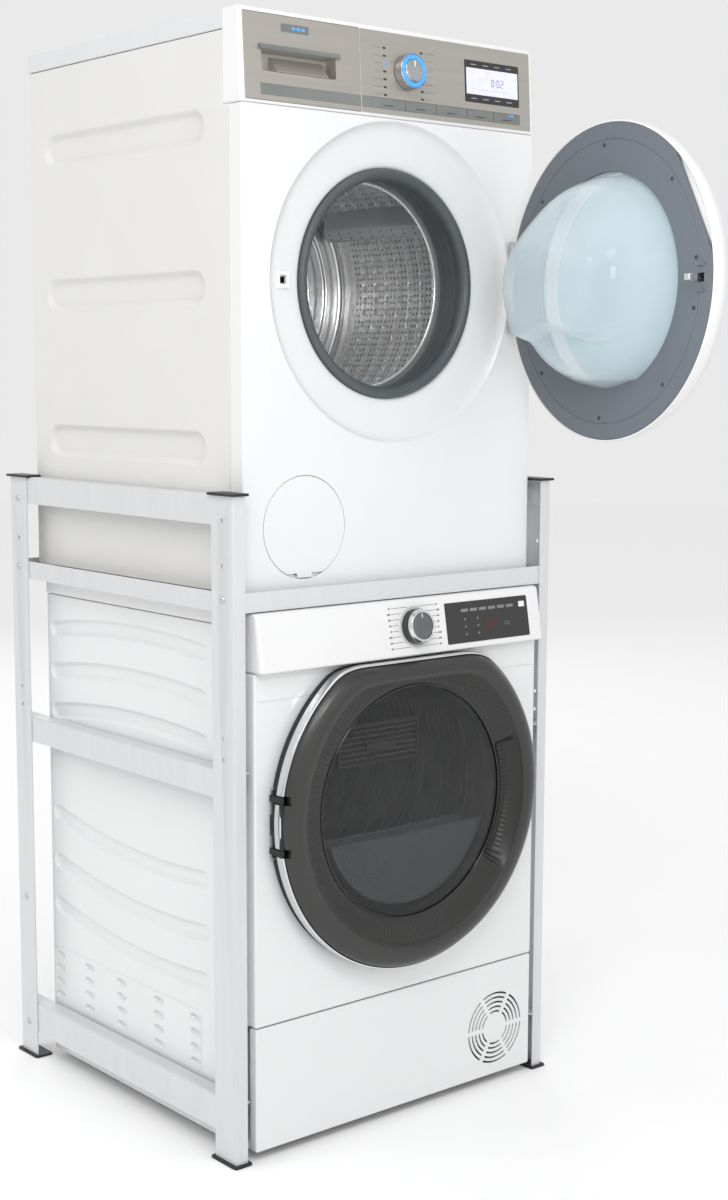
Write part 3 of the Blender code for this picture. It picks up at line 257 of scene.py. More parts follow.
lamp_dark = finish("lamp dark", (0.03, 0.03, 0.032), 0.3, spread=0.2, grain=0.02)
print_grey = finish("print grey", (0.20, 0.20, 0.20), 0.5, spread=0.10, grain=0.05)
mark_grey = finish("marks on glass", (0.45, 0.46, 0.50), 0.4, spread=0.10, grain=0.02)
mark_white = finish("white mark", (0.80, 0.82, 0.84), 0.35, spread=0.04, grain=0.02)
blue_light = lit_finish("blue light", (0.05, 0.27, 0.72), 0.55, (0.07, 0.32, 0.88))
lcd = lit_finish("lcd lavender", (0.60, 0.61, 0.78), 0.30, (0.72, 0.72, 0.95))
lcd_digits = finish("lcd digits", (0.30, 0.31, 0.40), 0.4, spread=0.05, grain=0.01)
red_digits = lit_finish("red digits", (0.10, 0.012, 0.012), 0.05, (0.7, 0.05, 0.04))
tub_grey = finish("tub plastic", (0.50, 0.50, 0.48), 0.6, spread=0.06, grain=0.3, grain_scale=600)
concrete = finish("concrete", (0.36, 0.35, 0.33), 0.9, spread=0.15, scale=40.0, grain=0.8, grain_scale=350)
iron = finish("motor iron", (0.06, 0.062, 0.065), 0.5, 0.6, spread=0.10, grain=0.2)
galvanised = finish("galvanised", (0.50, 0.51, 0.52), 0.38, 0.8, spread=0.12, scale=35.0, grain=0.15,
                    grain_scale=200)


# ---- shapes ----
def circle(centre, radius, sides=64):
    turns = [2 * math.pi * k / sides for k in range(sides)]
    return [(centre[0] + radius * math.cos(t), centre[1] + radius * math.sin(t)) for t in turns]


def round_box(left, right, low, high, radius, steps=5):
    """A rectangle with round corners, as (x, z) points, anticlockwise."""
    points = []
    corners = ((right, low, -90), (right, high, 0), (left, high, 90), (left, low, 180))
    for x, z, start in corners:
        centre_x = x - radius if x == right else x + radius
        centre_z = z - radius if z == high else z + radius
        for k in range(steps + 1):
            t = math.radians(start + 90 * k / steps)
            points.append((centre_x + radius * math.cos(t), centre_z + radius * math.sin(t)))
    return points


def inset(points, amount):
    """An outline moved inwards by the same distance everywhere, point for point."""
    area = sum(a[0] * b[1] - b[0] * a[1] for a, b in zip(points, points[1:] + points[:1]))
    side = 1 if area > 0 else -1
    moved = []
    for k, point in enumerate(points):
        here = Vector(point)
        before = (here - Vector(points[k - 1])).normalized()
        after = (Vector(points[(k + 1) % len(points)]) - here).normalized()
        inwards = Vector((-before.y - after.y, before.x + after.x)) * side
        stretch = 1 + before.dot(after)
        moved.append(tuple(here + inwards * (amount / max(stretch, 0.2))))
    return moved


def capsule(line, radius, steps=8):
    """The outline at a distance round a line of points, with round ends."""
    headings = []
    for k in range(len(line)):
        a, b = Vector(line[max(k - 1, 0)]), Vector(line[min(k + 1, len(line) - 1)])
        headings.append(math.atan2(b.y - a.y, b.x - a.x))

    def beside(k, degrees):
        t = headings[k] + math.radians(degrees)
        return (line[k][0] + radius * math.cos(t), line[k][1] + radius * math.sin(t))

    points = [beside(k, -90) for k in range(len(line))]
    points += [beside(-1, -90 + 180 * k / steps) for k in range(1, steps)]
    points += [beside(k, 90) for k in reversed(range(len(line)))]
    points += [beside(0, 90 + 180 * k / steps) for k in range(1, steps)]
    return points


def fillet(points, radius, closed=True, steps=4):
    """Rounds a profile's corners with short curves."""
    rounded = []
    for k, point in enumerate(points):
        here = Vector(point)
        if not closed and k in (0, len(points) - 1):
            rounded.append(tuple(here))
            continue
        before, after = Vector(points[k - 1]), Vector(points[(k + 1) % len(points)])
        reach = min(radius, (before - here).length * 0.45, (after - here).length * 0.45)
        start = here + (before - here).normalized() * reach
        end = here + (after - here).normalized() * reach
        for m in range(steps + 1):
            t = m / steps
            rounded.append(tuple(start * (1 - t) ** 2 + here * 2 * t * (1 - t) + end * t * t))
    return rounded


def bridge(shape, first, second):
    """Joins two closed loops; either may be a single point."""
    count = max(len(first), len(second))
    for k in range(count):
        after = (k + 1) % count
        if len(first) == 1:
            shape.faces.new((first[0], second[after], second[k]))
        elif len(second) == 1:
            shape.faces.new((first[k], first[after], second[0]))
        else:
            shape.faces.new((first[k], first[after], second[after], second[k]))


def turned(profile, sides=96, centre=(0.0, 0.0), closed=True, reach=None, start=None):
    """A profile of (radius, y) turned about the Y axis through centre (x, z).

    reach(radius, angle, index) changes a point's radius; it returns the radius, or it and y.
    """
    shape = start or bmesh.new()
    loops = []
    for index, (radius, y) in enumerate(profile):
        loop = []
        for k in range(sides if radius > 1e-6 else 1):
            angle = 2 * math.pi * k / sides
            place = reach(radius, angle, index) if reach else radius
            out, depth = place if isinstance(place, tuple) else (place, y)
            loop.append(shape.verts.new((centre[0] + out * math.cos(angle), depth,
                                         centre[1] + out * math.sin(angle))))
        loops.append(loop)
    pairs = list(zip(loops, loops[1:]))
    if closed:
        pairs.append((loops[-1], loops[0]))
    for first, second in pairs:
        if len(first) > 1 or len(second) > 1:
            bridge(shape, first, second)
    return shape


def sheet(outer, holes=()):
    """A pressed sheet facing -Y, made of loops of (x, z) points at a depth.

    outer runs from the flat skin's edge round to the fold's end; each hole runs from the skin
    inwards, and closes with a floor where its second value is True.
    """
    shape = bmesh.new()
    edges = []
    for loops, blind in [(outer, False), *holes]:
        rows = [[shape.verts.new((x, depth, z)) for x, z in points] for points, depth in loops]
        first = rows[0]
        for k, corner in enumerate(first):
            edges.append(shape.edges.new((corner, first[(k + 1) % len(first)])))
        for one, two in zip(rows, rows[1:]):
            bridge(shape, one, two)
        if blind:
            shape.faces.new(rows[-1])
    skin = bmesh.ops.triangle_fill(shape, use_beauty=True, edges=edges)["geom"]
    skin = [item for item in skin if isinstance(item, bmesh.types.BMFace)]
    bmesh.ops.recalc_face_normals(shape, faces=shape.faces)
    if sum(face.normal.y * face.calc_area() for face in skin) > 0:
        bmesh.ops.reverse_faces(shape, faces=shape.faces)
    return shape


def folded(outline, depth, radius):
    """The outer loops of a sheet whose edges are folded back with a round bend."""
    loops = []
    for k in range(4):
        t = math.radians(90 * k / 3)
        loops.append((inset(outline, radius * (1 - math.sin(t))), radius * (1 - math.cos(t))))
    return loops + [(outline, depth)]


def recess(line, half_width, depth, slope, steps=4):
    """A long hollow with soft edges, pressed into a sheet."""
    loops = []
    for k in range(steps + 1):
        t = k / steps
        loops.append((capsule(line, half_width - slope * t), depth * soft_step(t)))
    return loops, True


def slab(outline, near, far, holes=(), bevel=0.001):
    """A flat piece facing -Y with rounded edges, from (x, z) outlines."""
    curve = bpy.data.curves.new("slab", "CURVE")
    curve.dimensions = "2D"
    curve.fill_mode = "BOTH"
    curve.extrude = (far - near) / 2 - bevel
    curve.bevel_depth = bevel
    curve.bevel_resolution = 2
    curve.offset = -bevel
    for points in (outline, *holes):
        spline = curve.splines.new("POLY")
        spline.points.add(len(points) - 1)
        for k, (x, z) in enumerate(points):
            spline.points[k].co = (x, z, 0, 1)
        spline.use_cyclic_u = True
    item = linked("slab", curve)
    bpy.context.view_layer.update()
    mesh = bpy.data.meshes.new_from_object(item.evaluated_get(bpy.context.evaluated_depsgraph_get()))
    bpy.data.objects.remove(item)
    shape = bmesh.new()
    shape.from_mesh(mesh)
    bmesh.ops.remove_doubles(shape, verts=shape.verts, dist=1e-6)
    place = Matrix.Translation((0, (near + far) / 2, 0)) @ turn(90, "X")
    bmesh.ops.transform(shape, matrix=place, verts=shape.verts)
    return shape


def block(low, high, bevel=0.0004, start=None):
    """A small moulded block with rounded edges."""
    shape = start or bmesh.new()
    made = bmesh.ops.create_cube(shape, size=1.0)["verts"]
    size = Vector(high) - Vector(low)
    for corner in made:
        corner.co = Vector(low) + Vector([(corner.co[k] + 0.5) * size[k] for k in range(3)])
    edges = list({edge for corner in made for edge in corner.link_edges})
    if bevel:
        bmesh.ops.bevel(shape, geom=edges, offset=bevel, segments=2, profile=0.5, affect="EDGES")
    return shape


def prism(outline, low, high, start=None):
    """An outline of (x, y) points drawn out along Z."""
    shape = start or bmesh.new()
    loops = [[shape.verts.new((x, y, z)) for x, y in outline] for z in (low, high)]
    bridge(shape, *loops)
    shape.faces.new(loops[0])
    shape.faces.new(loops[1])
    return shape


def tube(points, radius, sides=10, start=None):
    """A round bar along a line of points."""
    shape = start or bmesh.new()
    rows = []
    for k, point in enumerate(points):
        a, b = Vector(points[max(k - 1, 0)]), Vector(points[min(k + 1, len(points) - 1)])
        along = (b - a).normalized()
        across = along.cross(Vector((0, 0, 1)) if abs(along.z) < 0.9 else Vector((1, 0, 0))).normalized()
        other = along.cross(across)
        row = []
        for m in range(sides):
            t = 2 * math.pi * m / sides
            offset = (across * math.cos(t) + other * math.sin(t)) * radius
            row.append(shape.verts.new(Vector(point) + offset))
        rows.append(row)
    for first, second in zip(rows, rows[1:]):
        bridge(shape, first, second)
    shape.faces.new(rows[0])
    shape.faces.new(rows[-1])
    return shape


def turned_at(shape, place, profile, sides):
    """Adds a turned piece to a shape, carried to its place."""
    before = set(shape.verts)
    turned(profile, sides, closed=False, start=shape)
    new = [corner for corner in shape.verts if corner not in before]
    bmesh.ops.transform(shape, matrix=place, verts=new)


def mesh_of(name, shape):
    mesh = bpy.data.meshes.new(name)
    shape.to_mesh(mesh)
    shape.free()
    return mesh


def linked(name, data):
    item = bpy.data.objects.new(name, data)
    bpy.context.scene.collection.objects.link(item)
    return item


def settle(item):
    """Turns an object's modifiers into its mesh."""
    bpy.context.view_layer.update()
    graph = bpy.context.evaluated_depsgraph_get()
    mesh = bpy.data.meshes.new_from_object(item.evaluated_get(graph))
    item.modifiers.clear()
    item.data = mesh


def put(name, shape, material, body=ROOT, space=None, replaces=(), lean=None,
        thick=0.0, crease=38.0, carve=(), closed=True):
    """Makes a piece from a shape, places it in the frame and fastens it to its body."""
    if lean:
        for corner in shape.verts:
            corner.co.y += lean(corner.co.y, corner.co.z)
    if closed and not thick:
        bmesh.ops.recalc_face_normals(shape, faces=shape.faces)
    item = linked(name, mesh_of(name, shape))
    if thick:
        solid = item.modifiers.new("thickness", "SOLIDIFY")
        solid.thickness = thick
        solid.offset = -1
        solid.use_even_offset = True
    tools = []
    for low, high in carve:
        tool = linked("tool", mesh_of("tool", block(low, high, 0)))
        hole = item.modifiers.new("carve", "BOOLEAN")
        hole.operation = "DIFFERENCE"
        hole.solver = "EXACT"
        hole.object = tool
        tools.append(tool)
    if item.modifiers:
        settle(item)
    for tool in tools:
        bpy.data.objects.remove(tool)
    mesh = item.data
    mesh.transform(space or Matrix.Identity(4))
    mesh.shade_smooth()
    mesh.set_sharp_from_angle(angle=math.radians(crease))
    mesh.materials.clear()
    mesh.materials.append(material)
    weight = item.modifiers.new("normals", "WEIGHTED_NORMAL")
    weight.keep_sharp = True
    if body:
        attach(item, body)
    if replaces:
        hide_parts(*replaces)
    return item


# ---- stand ----
POST_SIDE_LEG = 0.055
POST_FRONT_LEG = 0.022
METAL = 0.002
CAP_THICK = 0.004
CAP_OVERHANG = 0.006
HOLE_RADIUS = 0.0032


def angle_section(front, side, bend=0.0035, steps=5):
    """An L of bent sheet: its outer corner at the origin, its legs along +X and +Y."""
    outer, inner = [], []
    for k in range(steps + 1):
        t = math.radians(180 + 90 * k / steps)
        outer.append((bend + bend * math.cos(t), bend + bend * math.sin(t)))
        small = bend - METAL
        inner.append((bend + small * math.cos(t), bend + small * math.sin(t)))
    return [(0, side), *outer, (front, 0), (front, METAL), *reversed(inner), (METAL, side)]


def dome(radius, height, start, centre, outward):
    """A domed bolt head on a face whose normal is outward along X."""
    profile = [(radius, 0.0), (radius * 0.97, height * 0.35), (radius * 0.8, height * 0.72),
               (radius * 0.45, height * 0.95), (0.0, height)]
    turned_at(start, Matrix.Translation(centre) @ turn(-90 * outward, "Z"), profile, 20)


def stand():
    for node in ("stand_post_front_left", "stand_post_front_right", "stand_post_rear_left",
                 "stand_post_rear_right"):
        low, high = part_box(node)
        side = -1 if low.x < 0 else 1
        inward = 1 if "front" in node else -1
        corner = Vector((low.x if side < 0 else high.x, low.y if inward > 0 else high.y, 0))
        section = angle_section(POST_FRONT_LEG, POST_SIDE_LEG)
        outline = [(corner.x - side * x, corner.y + inward * y) for x, y in section]
        bolts = [0.880] if inward > 0 else [0.998, 0.880, 0.290, 0.060]
        holes = [0.998, 0.930, 0.669, 0.637] if inward > 0 else [0.930, 0.669, 0.637]
        line_y = corner.y + inward * POST_SIDE_LEG / 2
        post = prism(outline, CAP_THICK, high.z - 0.0005)
        drill = bmesh.new()
        for height in holes:
            turned_at(drill, Matrix.Translation((corner.x, line_y, height)) @ turn(90, "Z"),
                      [(0, -0.01), (HOLE_RADIUS, -0.01), (HOLE_RADIUS, 0.01), (0, 0.01)], 20)
        bmesh.ops.recalc_face_normals(drill, faces=drill.faces)
        tool = linked("holes", mesh_of("holes", drill))
        piece = put(node + "_profile", post, aluminium, replaces=(node,), crease=50)
        cut = piece.modifiers.new("holes", "BOOLEAN")
        cut.solver = "EXACT"
        cut.object = tool
        settle(piece)
        piece.data.set_sharp_from_angle(angle=math.radians(50))
        piece.modifiers.new("normals", "WEIGHTED_NORMAL").keep_sharp = True
        bpy.data.objects.remove(tool)

        heads = bmesh.new()
        for height in bolts:
            dome(0.0056, 0.0032, heads, (corner.x, line_y, height), side)
        put(node + "_bolts", heads, bolt_zinc)
        near_x, far_x = sorted((corner.x + side * CAP_OVERHANG,
                                corner.x - side * (POST_FRONT_LEG + CAP_OVERHANG)))
        near_y, far_y = sorted((corner.y - inward * CAP_OVERHANG,
                                corner.y + inward * (POST_SIDE_LEG + CAP_OVERHANG)))
        # The slab's Z is Y here: ABOVE lays it flat with its face up.
        outline = round_box(near_x, far_x, near_y, far_y, 0.005)
        put(node + "_top_cap", slab(outline, 0, CAP_THICK, bevel=0.0012), end_cap_black,
            space=Matrix.Translation((0, 0, high.z + CAP_THICK - 0.0003)) @ ABOVE)
        put(node + "_foot_cap", slab(outline, 0, CAP_THICK, bevel=0.0012), end_cap_black,
            space=Matrix.Translation((0, 0, CAP_THICK)) @ ABOVE)
    for rail in ("guard", "mid", "base"):
        for hand in ("left", "right"):
            node = f"stand_{rail}_rail_{hand}"
            low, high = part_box(node)
            side = -1 if hand == "left" else 1
            outer = low.x if side < 0 else high.x
            section = angle_section(high.x - low.x, high.z - low.z)
            outline = [(outer - side * x, high.z - y) for x, y in section]
            shape = prism([(x, -z) for x, z in outline], low.y, high.y)
            put(node + "_profile", shape, aluminium, space=turn(90, "X") @ Matrix.Scale(-1, 4,
                    (0, 0, 1)) @ Matrix.Scale(-1, 4, (0, 1, 0)), replaces=(node,), crease=50)


# ---- washer casing ----
def side_outline(size, split, top, low=0.0):
    """A casing's side, as (y, z): stepped back beside the control panel."""
    front, stepped = 0.0305, CAP_DEPTH + 0.0005
    return [(front, low), (size.y, low), (size.y, top), (stepped, top), (stepped, split), (front, split)]


def both_sides(size):
    """Each side of a casing: its hand, its turned frame and the sign of its depth there."""
    yield "left", LEFT, -1
    yield "right", Matrix.Translation((size.x, 0, 0)) @ RIGHT, 1


def side_edge(outline, flip):
    edge = [(flip * y, z) for y, z in outline]
    return edge if flip > 0 else edge[::-1]


def back_outline(size, top):
    """The back panel's edge, in a frame turned to face +Y."""
    return [(-x, z) for x, z in round_box(0.004, size.x - 0.004, 0.003, top - 0.002, 0.004)][::-1]


def gland(name, space, at):
    """The collar in a casing's back that its lead would pass."""
    profile = fillet([(0.0140, 0.0), (0.0140, 0.003), (0.0085, 0.005), (0.0065, 0.016), (0.0040, 0.016),
                      (0.0040, 0.0)], 0.001)
    put(name + "_gland", turned([(r, -y) for r, y in profile], 32, at), rubber_black, space=space)


def floor_pan(name, space, size):
    edge = [(x, -y) for x, y in round_box(0.003, size.x - 0.003, 0.032, 0.597, 0.004)][::-1]
    put(name + "_floor_pan", sheet(folded(edge, 0.010, 0.002)), galvanised, space=space @ BELOW,
        thick=SHEET_METAL)


def washer_casing():
    top = WASHER_SIZE.z - WASHER_SHELL_TOP
    outline = side_outline(WASHER_SIZE, WASHER_SPLIT + 0.0004, top, -SKIRT)
    lines = [[(0.120, z), (0.528, z)] for z in (0.685, 0.449, 0.207)]
    for hand, space, flip in both_sides(WASHER_SIZE):
        edge = side_edge(outline, flip)
        hollows = [recess([(flip * y, z) for y, z in line], 0.0275, 0.0090, 0.0105) for line in lines]
        # the washer's sides take the darker copy of the enamel: painted shade
        put(f"washer_side_{hand}", sheet(folded(edge, 0.012, 0.002), hollows), shaded_side_enamel,
            space=WASHER @ space, thick=SHEET_METAL,
            replaces=("washer_cabinet",) if hand == "left" else ())

    back = back_outline(WASHER_SIZE, top)
    valve = middle("washer_inlet_valve", WASHER_AT)
    large = [(round_box(-0.530, -0.068, 0.120, 0.690, 0.040), 0.0)]
    for share in (0.35, 0.7, 1.0):
        large.append((inset(large[0][0], 0.010 * share), 0.008 * soft_step(share)))
    openings = [(large, True), ([(circle((-0.085, valve.z), 0.0150, 32), 0.0),
                                 (circle((-0.085, valve.z), 0.0145, 32), 0.0025)], False)]
    back_space = WASHER @ Matrix.Translation((0, WASHER_SIZE.y, 0)) @ BACK
    # the back takes the same darker copy of the enamel: painted shade
    put("washer_back", sheet(folded(back, 0.010, 0.002), openings), shaded_side_enamel, space=back_space,
        thick=SHEET_METAL)
    ribs = bmesh.new()
    for k in range(5):
        block((-0.500, 0.0035, 0.190 + 0.100 * k), (-0.098, 0.0085, 0.206 + 0.100 * k), 0.0022, ribs)
    put("washer_back_ribs", ribs, shaded_side_enamel, space=back_space)
    screws = bmesh.new()
    for x in (-0.588, -0.299, -0.010):
        for z in (0.030, 0.800):
            turned([(0.0045, 0), (0.0042, -0.0016), (0.0015, -0.0022), (0.0013, -0.0012), (0, -0.0012)],
                   16, (x, z), closed=False, start=screws)
    put("washer_back_screws", screws, bolt_zinc, space=back_space)
    gland("washer", back_space, (-0.510, 0.740))
    floor_pan("washer", WASHER, WASHER_SIZE)
    feet("washer", WASHER, WASHER_SIZE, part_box("stand_shelf_board")[1].z - WASHER_AT.z + 0.0003)
    lid = round_box(0.0, WASHER_SIZE.x, CAP_DEPTH + 0.0006, 0.606, 0.004)
    put("washer_lid", slab(lid, 0.0, 0.0292, bevel=0.0022), pale_plastic,
        space=WASHER @ Matrix.Translation((0, 0, WASHER_SIZE.z)) @ ABOVE, replaces=("washer_worktop",))


def feet(name, space, size, floor):
    pads, stems = bmesh.new(), bmesh.new()
    pad = fillet([(0.0, floor), (0.0190, floor), (0.0190, floor + 0.0060), (0.0110, floor + 0.0090),
                  (0.0, floor + 0.0090)], 0.0012, closed=False)
    stem = [(0.0, floor + 0.004), (0.0065, floor + 0.004), (0.0065, 0.006), (0.0, 0.006)]
    for x in (0.055, size.x - 0.055):
        for y in (0.055, size.y - 0.055):
            turned(pad, 32, (x, -y), closed=False, start=pads)
            turned(stem, 16, (x, -y), closed=False, start=stems)
    put(name + "_foot_pads", pads, rubber_black, space=space @ BELOW)
    put(name + "_foot_stems", stems, bolt_zinc, space=space @ BELOW)


DISH = [(0.2482, 0.0), (0.2474, 0.0005), (0.2460, 0.0022), (0.2430, 0.0056), (0.2385, 0.0086),
        (0.2310, 0.0108), (0.2050, 0.0150), (0.1900, 0.0178), (0.1830, 0.0196), (0.1795, 0.0216),
        (0.1782, 0.0240)]
LOCK_AT = (PORT[0] - 0.214, PORT[1])


def washer_front():
    flap = middle("washer_service_flap", WASHER_AT)
    flap_at = (flap.x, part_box("washer_service_flap")[0].z - WASHER_AT.z + 0.079)
    outline = round_box(0.0, WASHER_SIZE.x, -SKIRT, WASHER_SPLIT, 0.004)
    dish = ([(circle(PORT, radius, 144), depth) for radius, depth in DISH], False)
    service = ([(circle(flap_at, radius, 96), depth) for radius,
                depth in ((0.0803, 0.0), (0.0796, 0.0005), (0.0794, 0.0030))], False)
    x, z = LOCK_AT
    put("washer_front_skin", sheet(folded(outline, 0.0298, 0.0022), [dish, service]), enamel,
        space=WASHER, thick=SHEET_METAL, replaces=("washer_front_panel",),
        carve=[((x - 0.007, -0.01, z - 0.008), (x + 0.007, 0.05, z + 0.008))])
    plate = round_box(x - 0.0115, x + 0.0115, z - 0.0125, z + 0.0125, 0.002)
    keyhole = round_box(x - 0.0060, x + 0.0060, z - 0.0070, z + 0.0070, 0.001)
    put("washer_lock_plate", slab(plate, 0.0105, 0.0170, [keyhole[::-1]], 0.0008), white_plastic,
        space=WASHER)
    lock = block((x - 0.0058, 0.0160, z - 0.0069), (x + 0.0058, 0.0300, z - 0.0050), 0.0004)
    block((x - 0.0058, 0.0160, z + 0.0050), (x + 0.0058, 0.0300, z + 0.0069), 0.0004, lock)
    put("washer_lock_parts", lock, pale_plastic, space=WASHER)
    shelf = block((flap_at[0] - 0.036, 0.0075, flap_at[1] - 0.0800),
                  (flap_at[0] + 0.036, 0.0092, flap_at[1] - 0.0660))
    put("washer_flap_sill", shelf, enamel, space=WASHER)
    seat = [(0.0745, 0.0048), (0.0815, 0.0048), (0.0815, 0.0062), (0.0745, 0.0062)]
    put("washer_flap_seat", turned(seat, 96, flap_at), enamel, space=WASHER)

    cut, tab_low = flap_at[1] - 0.0705, flap_at[1] - 0.0772
    rim = [point for point in circle(flap_at, 0.0786, 96) if point[1] >= cut]

    def bearing(point):
        return math.atan2(point[1] - flap_at[1], point[0] - flap_at[0])

    right_part = sorted((point for point in rim if point[0] > flap_at[0]), key=bearing)
    left_part = sorted((point for point in rim if point[0] <= flap_at[0]),
                       key=lambda point: bearing(point) % (2 * math.pi))
    left, right = flap_at[0] - 0.0145, flap_at[0] + 0.0145
    outline = right_part + left_part + [(left, cut), (left, tab_low), (right, tab_low), (right, cut)]
    put("washer_flap_face", slab(outline, 0.0, 0.0030, bevel=0.0006), enamel, "washer_service_flap",
        WASHER, ("washer_service_flap",))


# ---- washer controls ----
PLATE = (0.0085, 0.5905, 0.7165, 0.8408)
DRAWER_SPLIT = 0.2279
STRIP = (0.7245, 0.7410)
SCREEN_GAP = 0.0003


def face_of(low, high, gap=0.0):
    """A box's front as (left, right, low, high), with a gap round it."""
    return low.x - gap, high.x + gap, low.z - gap, high.z + gap


def opening(box, depth):
    """A panel's cut-out for a display, keys or a drawer."""
    return [(round_box(*box, 0.0015), 0.0), (round_box(*box, 0.0015), depth)], False


def knob_hole(centre):
    return [(circle(centre, 0.0070, 32), 0.0), (circle(centre, 0.0070, 32), 0.004)], False


def bars(items, near, far, bevel=0.0002):
    """Small raised marks, each (left, right, low, high)."""
    shape = bmesh.new()
    for left, right, low, high in items:
        block((left, near, low), (right, far, high), bevel, shape)
    return shape


SEGMENTS = {"0": "abcdef", "2": "abged", "3": "abgcd", "5": "afgcd"}  # the numbers the displays show


def digits(text, left, low, height, near, far):
    """Seven-segment numbers."""
    shape = bmesh.new()
    width, thick = height * 0.52, height * 0.13
    places = {
        "a": (thick, width - thick, height - thick, height),
        "g": (thick, width - thick, height / 2 - thick / 2, height / 2 + thick / 2),
        "d": (thick, width - thick, 0, thick),
        "f": (0, thick, height / 2, height - thick / 2),
        "b": (width - thick, width, height / 2, height - thick / 2),
        "e": (0, thick, thick / 2, height / 2),
        "c": (width - thick, width, thick / 2, height / 2),
    }
    x = left
    for letter in text:
        if letter == ":":
            for level in (0.28, 0.66):
                block((x, near, low + level * height), (x + thick, far, low + (level + 0.12) * height),
                      0, shape)
            x += thick * 2.4
            continue
        for name in SEGMENTS[letter]:
            a, b, c, d = places[name]
            block((x + a, near, low + c), (x + b, far, low + d), 0, shape)
        x += width * 1.35
    return shape


def washer_controls():
    left, right, low, high = PLATE
    outline = round_box(0.0, WASHER_SIZE.x, WASHER_SPLIT + 0.0004, WASHER_SIZE.z, 0.004)
    screen_low, screen_high = local_box("washer_display", WASHER_AT)
    screen = face_of(screen_low, screen_high, SCREEN_GAP)
    keys = [local_box(f"washer_key_{k}", WASHER_AT) for k in range(1, 6)]
    key_row = (keys[0][0].x - 0.0004, keys[-1][1].x + 0.0004, STRIP[0], STRIP[1])
    knob = middle("washer_program_knob", WASHER_AT)
    knob_at = (knob.x, knob.z)

    drawer_hole = opening((left - 0.0006, DRAWER_SPLIT + 0.0004, low - 0.0006, high + 0.0006), 0.010)
    put("washer_fascia_body", sheet(folded(outline, CAP_DEPTH - 0.0003, 0.0040),
                                    [drawer_hole, opening(screen, 0.008), opening(key_row, 0.006),
                                     knob_hole(knob_at)]), white_plastic, space=WASHER,
        thick=SHEET_METAL, lean=fascia_lean, replaces=("washer_control_panel",))
    plate = round_box(DRAWER_SPLIT + 0.0008, right, low, high, 0.0015)
    holes = [round_box(*screen, 0.0015)[::-1], round_box(*key_row, 0.001)[::-1],
             circle(knob_at, 0.0075, 32)[::-1]]
    put("washer_fascia_plate", slab(plate, -0.0008, -0.0001, holes, 0.0002), fascia_silver,
        space=WASHER, lean=fascia_lean)
    gap = (DRAWER_SPLIT + 0.0016, key_row[0] - 0.0006, *STRIP)
    put("washer_strip_blank", bars([gap], -0.0014, 0.0), strip_grey, space=WASHER, lean=fascia_lean)
    for k, (key_low, key_high) in enumerate(keys):
        face = round_box(*face_of(key_low, key_high), 0.0010)
        put(f"washer_key_{k + 1}_cap", slab(face, -0.0010, 0.0045, bevel=0.0005), strip_grey,
            f"washer_key_{k + 1}", WASHER, (f"washer_key_{k + 1}",), fascia_lean)
        mark_left = (key_low.x + key_high.x) / 2 - 0.010
        mark = (mark_left, mark_left + 0.020, key_low.z + 0.0045, key_low.z + 0.0058)
        put(f"washer_key_{k + 1}_mark", bars([mark], -0.0012, 0.0, 0.0), lamp_dark,
            f"washer_key_{k + 1}", WASHER, lean=fascia_lean)
    lamp_x = keys[-1][0].x + 0.034
    lamps = [(lamp_x + shift, lamp_x + shift + 0.0045, STRIP[1] - 0.0052,
              STRIP[1] - 0.0020) for shift in (0, 0.006)]
    put("washer_key_lamp", bars(lamps, -0.0013, 0.0), blue_light, "washer_key_5", WASHER, lean=fascia_lean)

    glass = round_box(*face_of(screen_low, screen_high), 0.0020)
    put("washer_screen", slab(glass, -0.0012, 0.0060, bevel=0.0006), black_gloss, space=WASHER,
        replaces=("washer_display",), lean=fascia_lean)
    lit = (screen_low.x + 0.0030, screen_high.x - 0.0030, screen_low.z + 0.0125, screen_high.z - 0.0115)
    put("washer_screen_lcd", slab(round_box(*lit, 0.0008), -0.0015, -0.0008, bevel=0.0002), lcd,
        space=WASHER, lean=fascia_lean)
    put("washer_screen_digits", digits("0:02", lit[0] + 0.054, lit[2] + 0.0145, 0.0125, -0.0017,
                                       -0.0010), lcd_digits, space=WASHER, lean=fascia_lean)
    lines = [(lit[0] + 0.012, lit[0] + 0.096, lit[2] + 0.0080, lit[2] + 0.0086)]
    lines += [(lit[0] + 0.010 + 0.026 * k, lit[0] + 0.022 + 0.026 * k, edge,
               edge + 0.0010) for k in range(4) for edge in (lit[2] - 0.0070, lit[3] + 0.0050)]
    put("washer_screen_marks", bars(lines, -0.0016, -0.0009, 0.0), mark_grey, space=WASHER,
        lean=fascia_lean)

    lamps, lit_lamps, labels = [], [], []
    for k in range(7):
        level = 0.8165 - 0.0118 * k
        first = (0.2735, 0.2795, level - 0.0015, level + 0.0015)
        (lit_lamps if k == 2 else lamps).append(first)
        lamps.append((0.3500, 0.3560, level - 0.0015, level + 0.0015))
        length = 0.018 - 0.002 * ((k * 5) % 4)
        labels.append((0.2690 - length, 0.2690, level - 0.0004, level + 0.0004))
        length = 0.020 - 0.002 * ((k * 3) % 5)
        labels.append((0.3605, 0.3605 + length, level - 0.0004, level + 0.0004))
    put("washer_lamps", bars(lamps, -0.0012, 0.0), lamp_dark, space=WASHER, lean=fascia_lean)
    put("washer_lamp_lit", bars(lit_lamps, -0.0013, 0.0), blue_light, space=WASHER, lean=fascia_lean)
    put("washer_label_lines", bars(labels, -0.0010, 0.0, 0.0), print_grey, space=WASHER, lean=fascia_lean)

